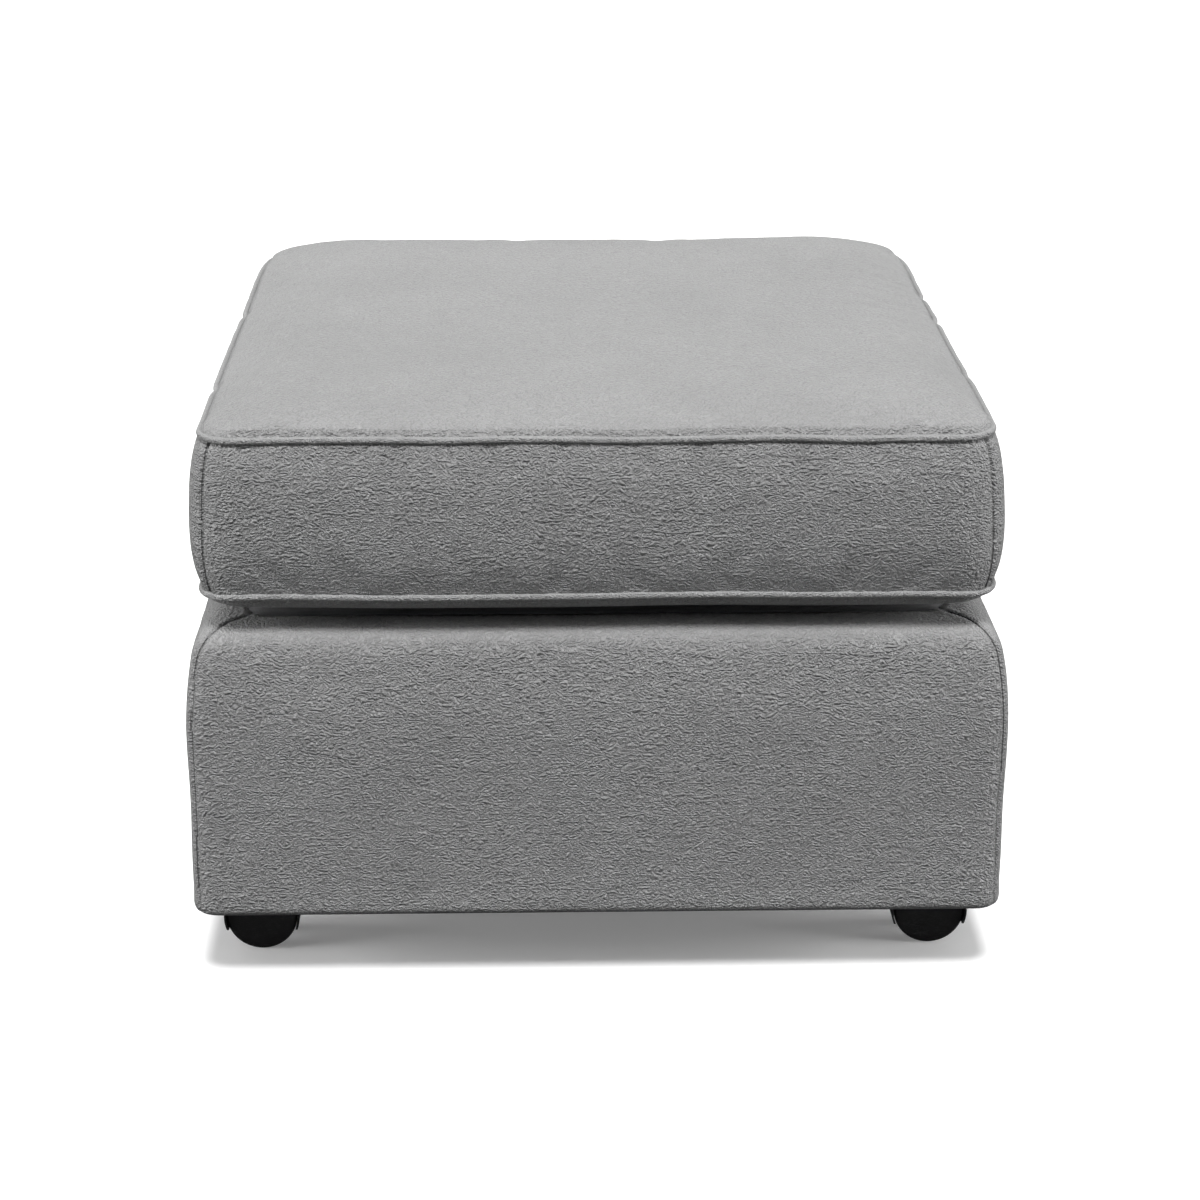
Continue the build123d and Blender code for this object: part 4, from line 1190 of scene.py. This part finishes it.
class OTTOMAN_OT_stage(bpy.types.Operator):
    """Lays a pale floor, lights it softly and sets the camera"""
    bl_idname = "ottoman.stage"
    bl_label = "Stage"

    def execute(self, context):
        scene, look = context.scene, context.scene.ottoman_stage
        mesh = bpy.data.meshes.new("studio_floor")
        mesh.from_pydata([(-30, -30, 0), (30, -30, 0), (30, 30, 0), (-30, 30, 0)], [], [(0, 1, 2, 3)])
        floor = bpy.data.objects.new("studio_floor", mesh)
        scene.collection.objects.link(floor)
        pale = bpy.data.materials.new("Studio floor")
        pale.use_nodes = True
        tree = pale.node_tree
        shader = tree.nodes["Principled BSDF"]
        cloud = noise(tree, put(tree, "ShaderNodeTexCoord").outputs["Object"], 0.7, 2.0)
        tone = look.floor
        seen = put(tree, "ShaderNodeLightPath").outputs["Is Camera Ray"]
        shown = mixed(tree, cloud, (tone * 0.995,) * 3 + (1,), (tone,) * 3 + (1,))
        joined(tree, mixed(tree, seen, (0.06, 0.06, 0.06, 1), shown), shader.inputs["Base Color"])
        shader.inputs["Emission Color"].default_value = (1, 1, 1, 1)
        joined(tree, sums(tree, "MULTIPLY", seen, look.glow), shader.inputs["Emission Strength"])
        shader.inputs["Roughness"].default_value = 0.9
        shader.inputs["Specular IOR Level"].default_value = 0.1
        mesh.materials.append(pale)

        world = bpy.data.worlds.new("Studio")
        world.use_nodes = True
        scene.world = world
        tree = world.node_tree
        back = tree.nodes["Background"]
        _, ahead, _ = apart(tree, put(tree, "ShaderNodeTexCoord").outputs["Generated"])
        length_wise = ranged(tree, ahead, -0.35, 0.45, look.front, look.back)
        seen = put(tree, "ShaderNodeLightPath").outputs["Is Camera Ray"]
        strength = put(tree, "ShaderNodeMix", {0: seen, 2: length_wise, 3: 1.02}, data_type="FLOAT").outputs[0]
        back.inputs["Color"].default_value = (1, 1, 1, 1)
        joined(tree, strength, back.inputs["Strength"])

        for name, energy, soft, lean, turn in (("Key", look.key, 16, 25, 0), ("Side left", look.side, 30, 77, -84),
                                               ("Side right", look.side, 30, 77, 84)):
            light = bpy.data.lights.new(name, "SUN")
            light.energy, light.angle = energy, radians(soft)
            lamp = bpy.data.objects.new(name, light)
            lamp.rotation_euler = (radians(lean), 0, radians(turn))
            lamp.location = lamp.rotation_euler.to_matrix() @ Vector((0, 0, 4))
            scene.collection.objects.link(lamp)

        camera = bpy.data.cameras.new("Camera")
        camera.lens, camera.sensor_width = look.lens, 36
        camera.shift_x = look.shift
        camera.clip_end = 100
        place = bpy.data.objects.new("Camera", camera)
        place.location = look.camera
        place.rotation_euler = (pi / 2 - look.pitch, 0, look.turn)
        scene.collection.objects.link(place)
        scene.camera = place
        scene.view_settings.view_transform = "Standard"
        scene.view_settings.look = "None"
        return {"FINISHED"}


OPERATORS = (OTTOMAN_OT_hardware, OTTOMAN_OT_cushion, OTTOMAN_OT_welts, OTTOMAN_OT_cushion_thread, OTTOMAN_OT_zip,
             OTTOMAN_OT_base, OTTOMAN_OT_base_thread, OTTOMAN_OT_deck, OTTOMAN_OT_dust_cover, OTTOMAN_OT_stage)
SETTINGS = {"ottoman_cushion": OttomanCushion, "ottoman_base": OttomanBase, "ottoman_finish": OttomanFinish,
            "ottoman_stage": OttomanStage}


class OTTOMAN_PT_sidebar(bpy.types.Panel):
    """Sizes, finishes and pieces of the ottoman"""
    bl_idname = "OTTOMAN_PT_sidebar"
    bl_label = "Ottoman"
    bl_space_type = "VIEW_3D"
    bl_region_type = "UI"
    bl_category = "Ottoman"

    def draw(self, context):
        for name, kind in SETTINGS.items():
            box = self.layout.box()
            for key in kind.__annotations__:
                box.prop(getattr(context.scene, name), key)
        for operator in OPERATORS:
            self.layout.operator(operator.bl_idname)


CLASSES = (*SETTINGS.values(), *OPERATORS, OTTOMAN_PT_sidebar)


def register():
    for item in CLASSES:
        bpy.utils.register_class(item)
    for name, kind in SETTINGS.items():
        setattr(bpy.types.Scene, name, PointerProperty(type=kind))


def unregister():
    for name in SETTINGS:
        delattr(bpy.types.Scene, name)
    for item in reversed(CLASSES):
        bpy.utils.unregister_class(item)


def main():
    register()
    bpy.ops.ottoman.hardware()
    bpy.ops.ottoman.cushion()
    bpy.ops.ottoman.welts()
    bpy.ops.ottoman.cushion_thread()
    bpy.ops.ottoman.zip()
    bpy.ops.ottoman.base()
    bpy.ops.ottoman.base_thread()
    bpy.ops.ottoman.deck()
    bpy.ops.ottoman.dust_cover()
    bpy.ops.ottoman.stage()


if __name__ == "__main__":
    main()
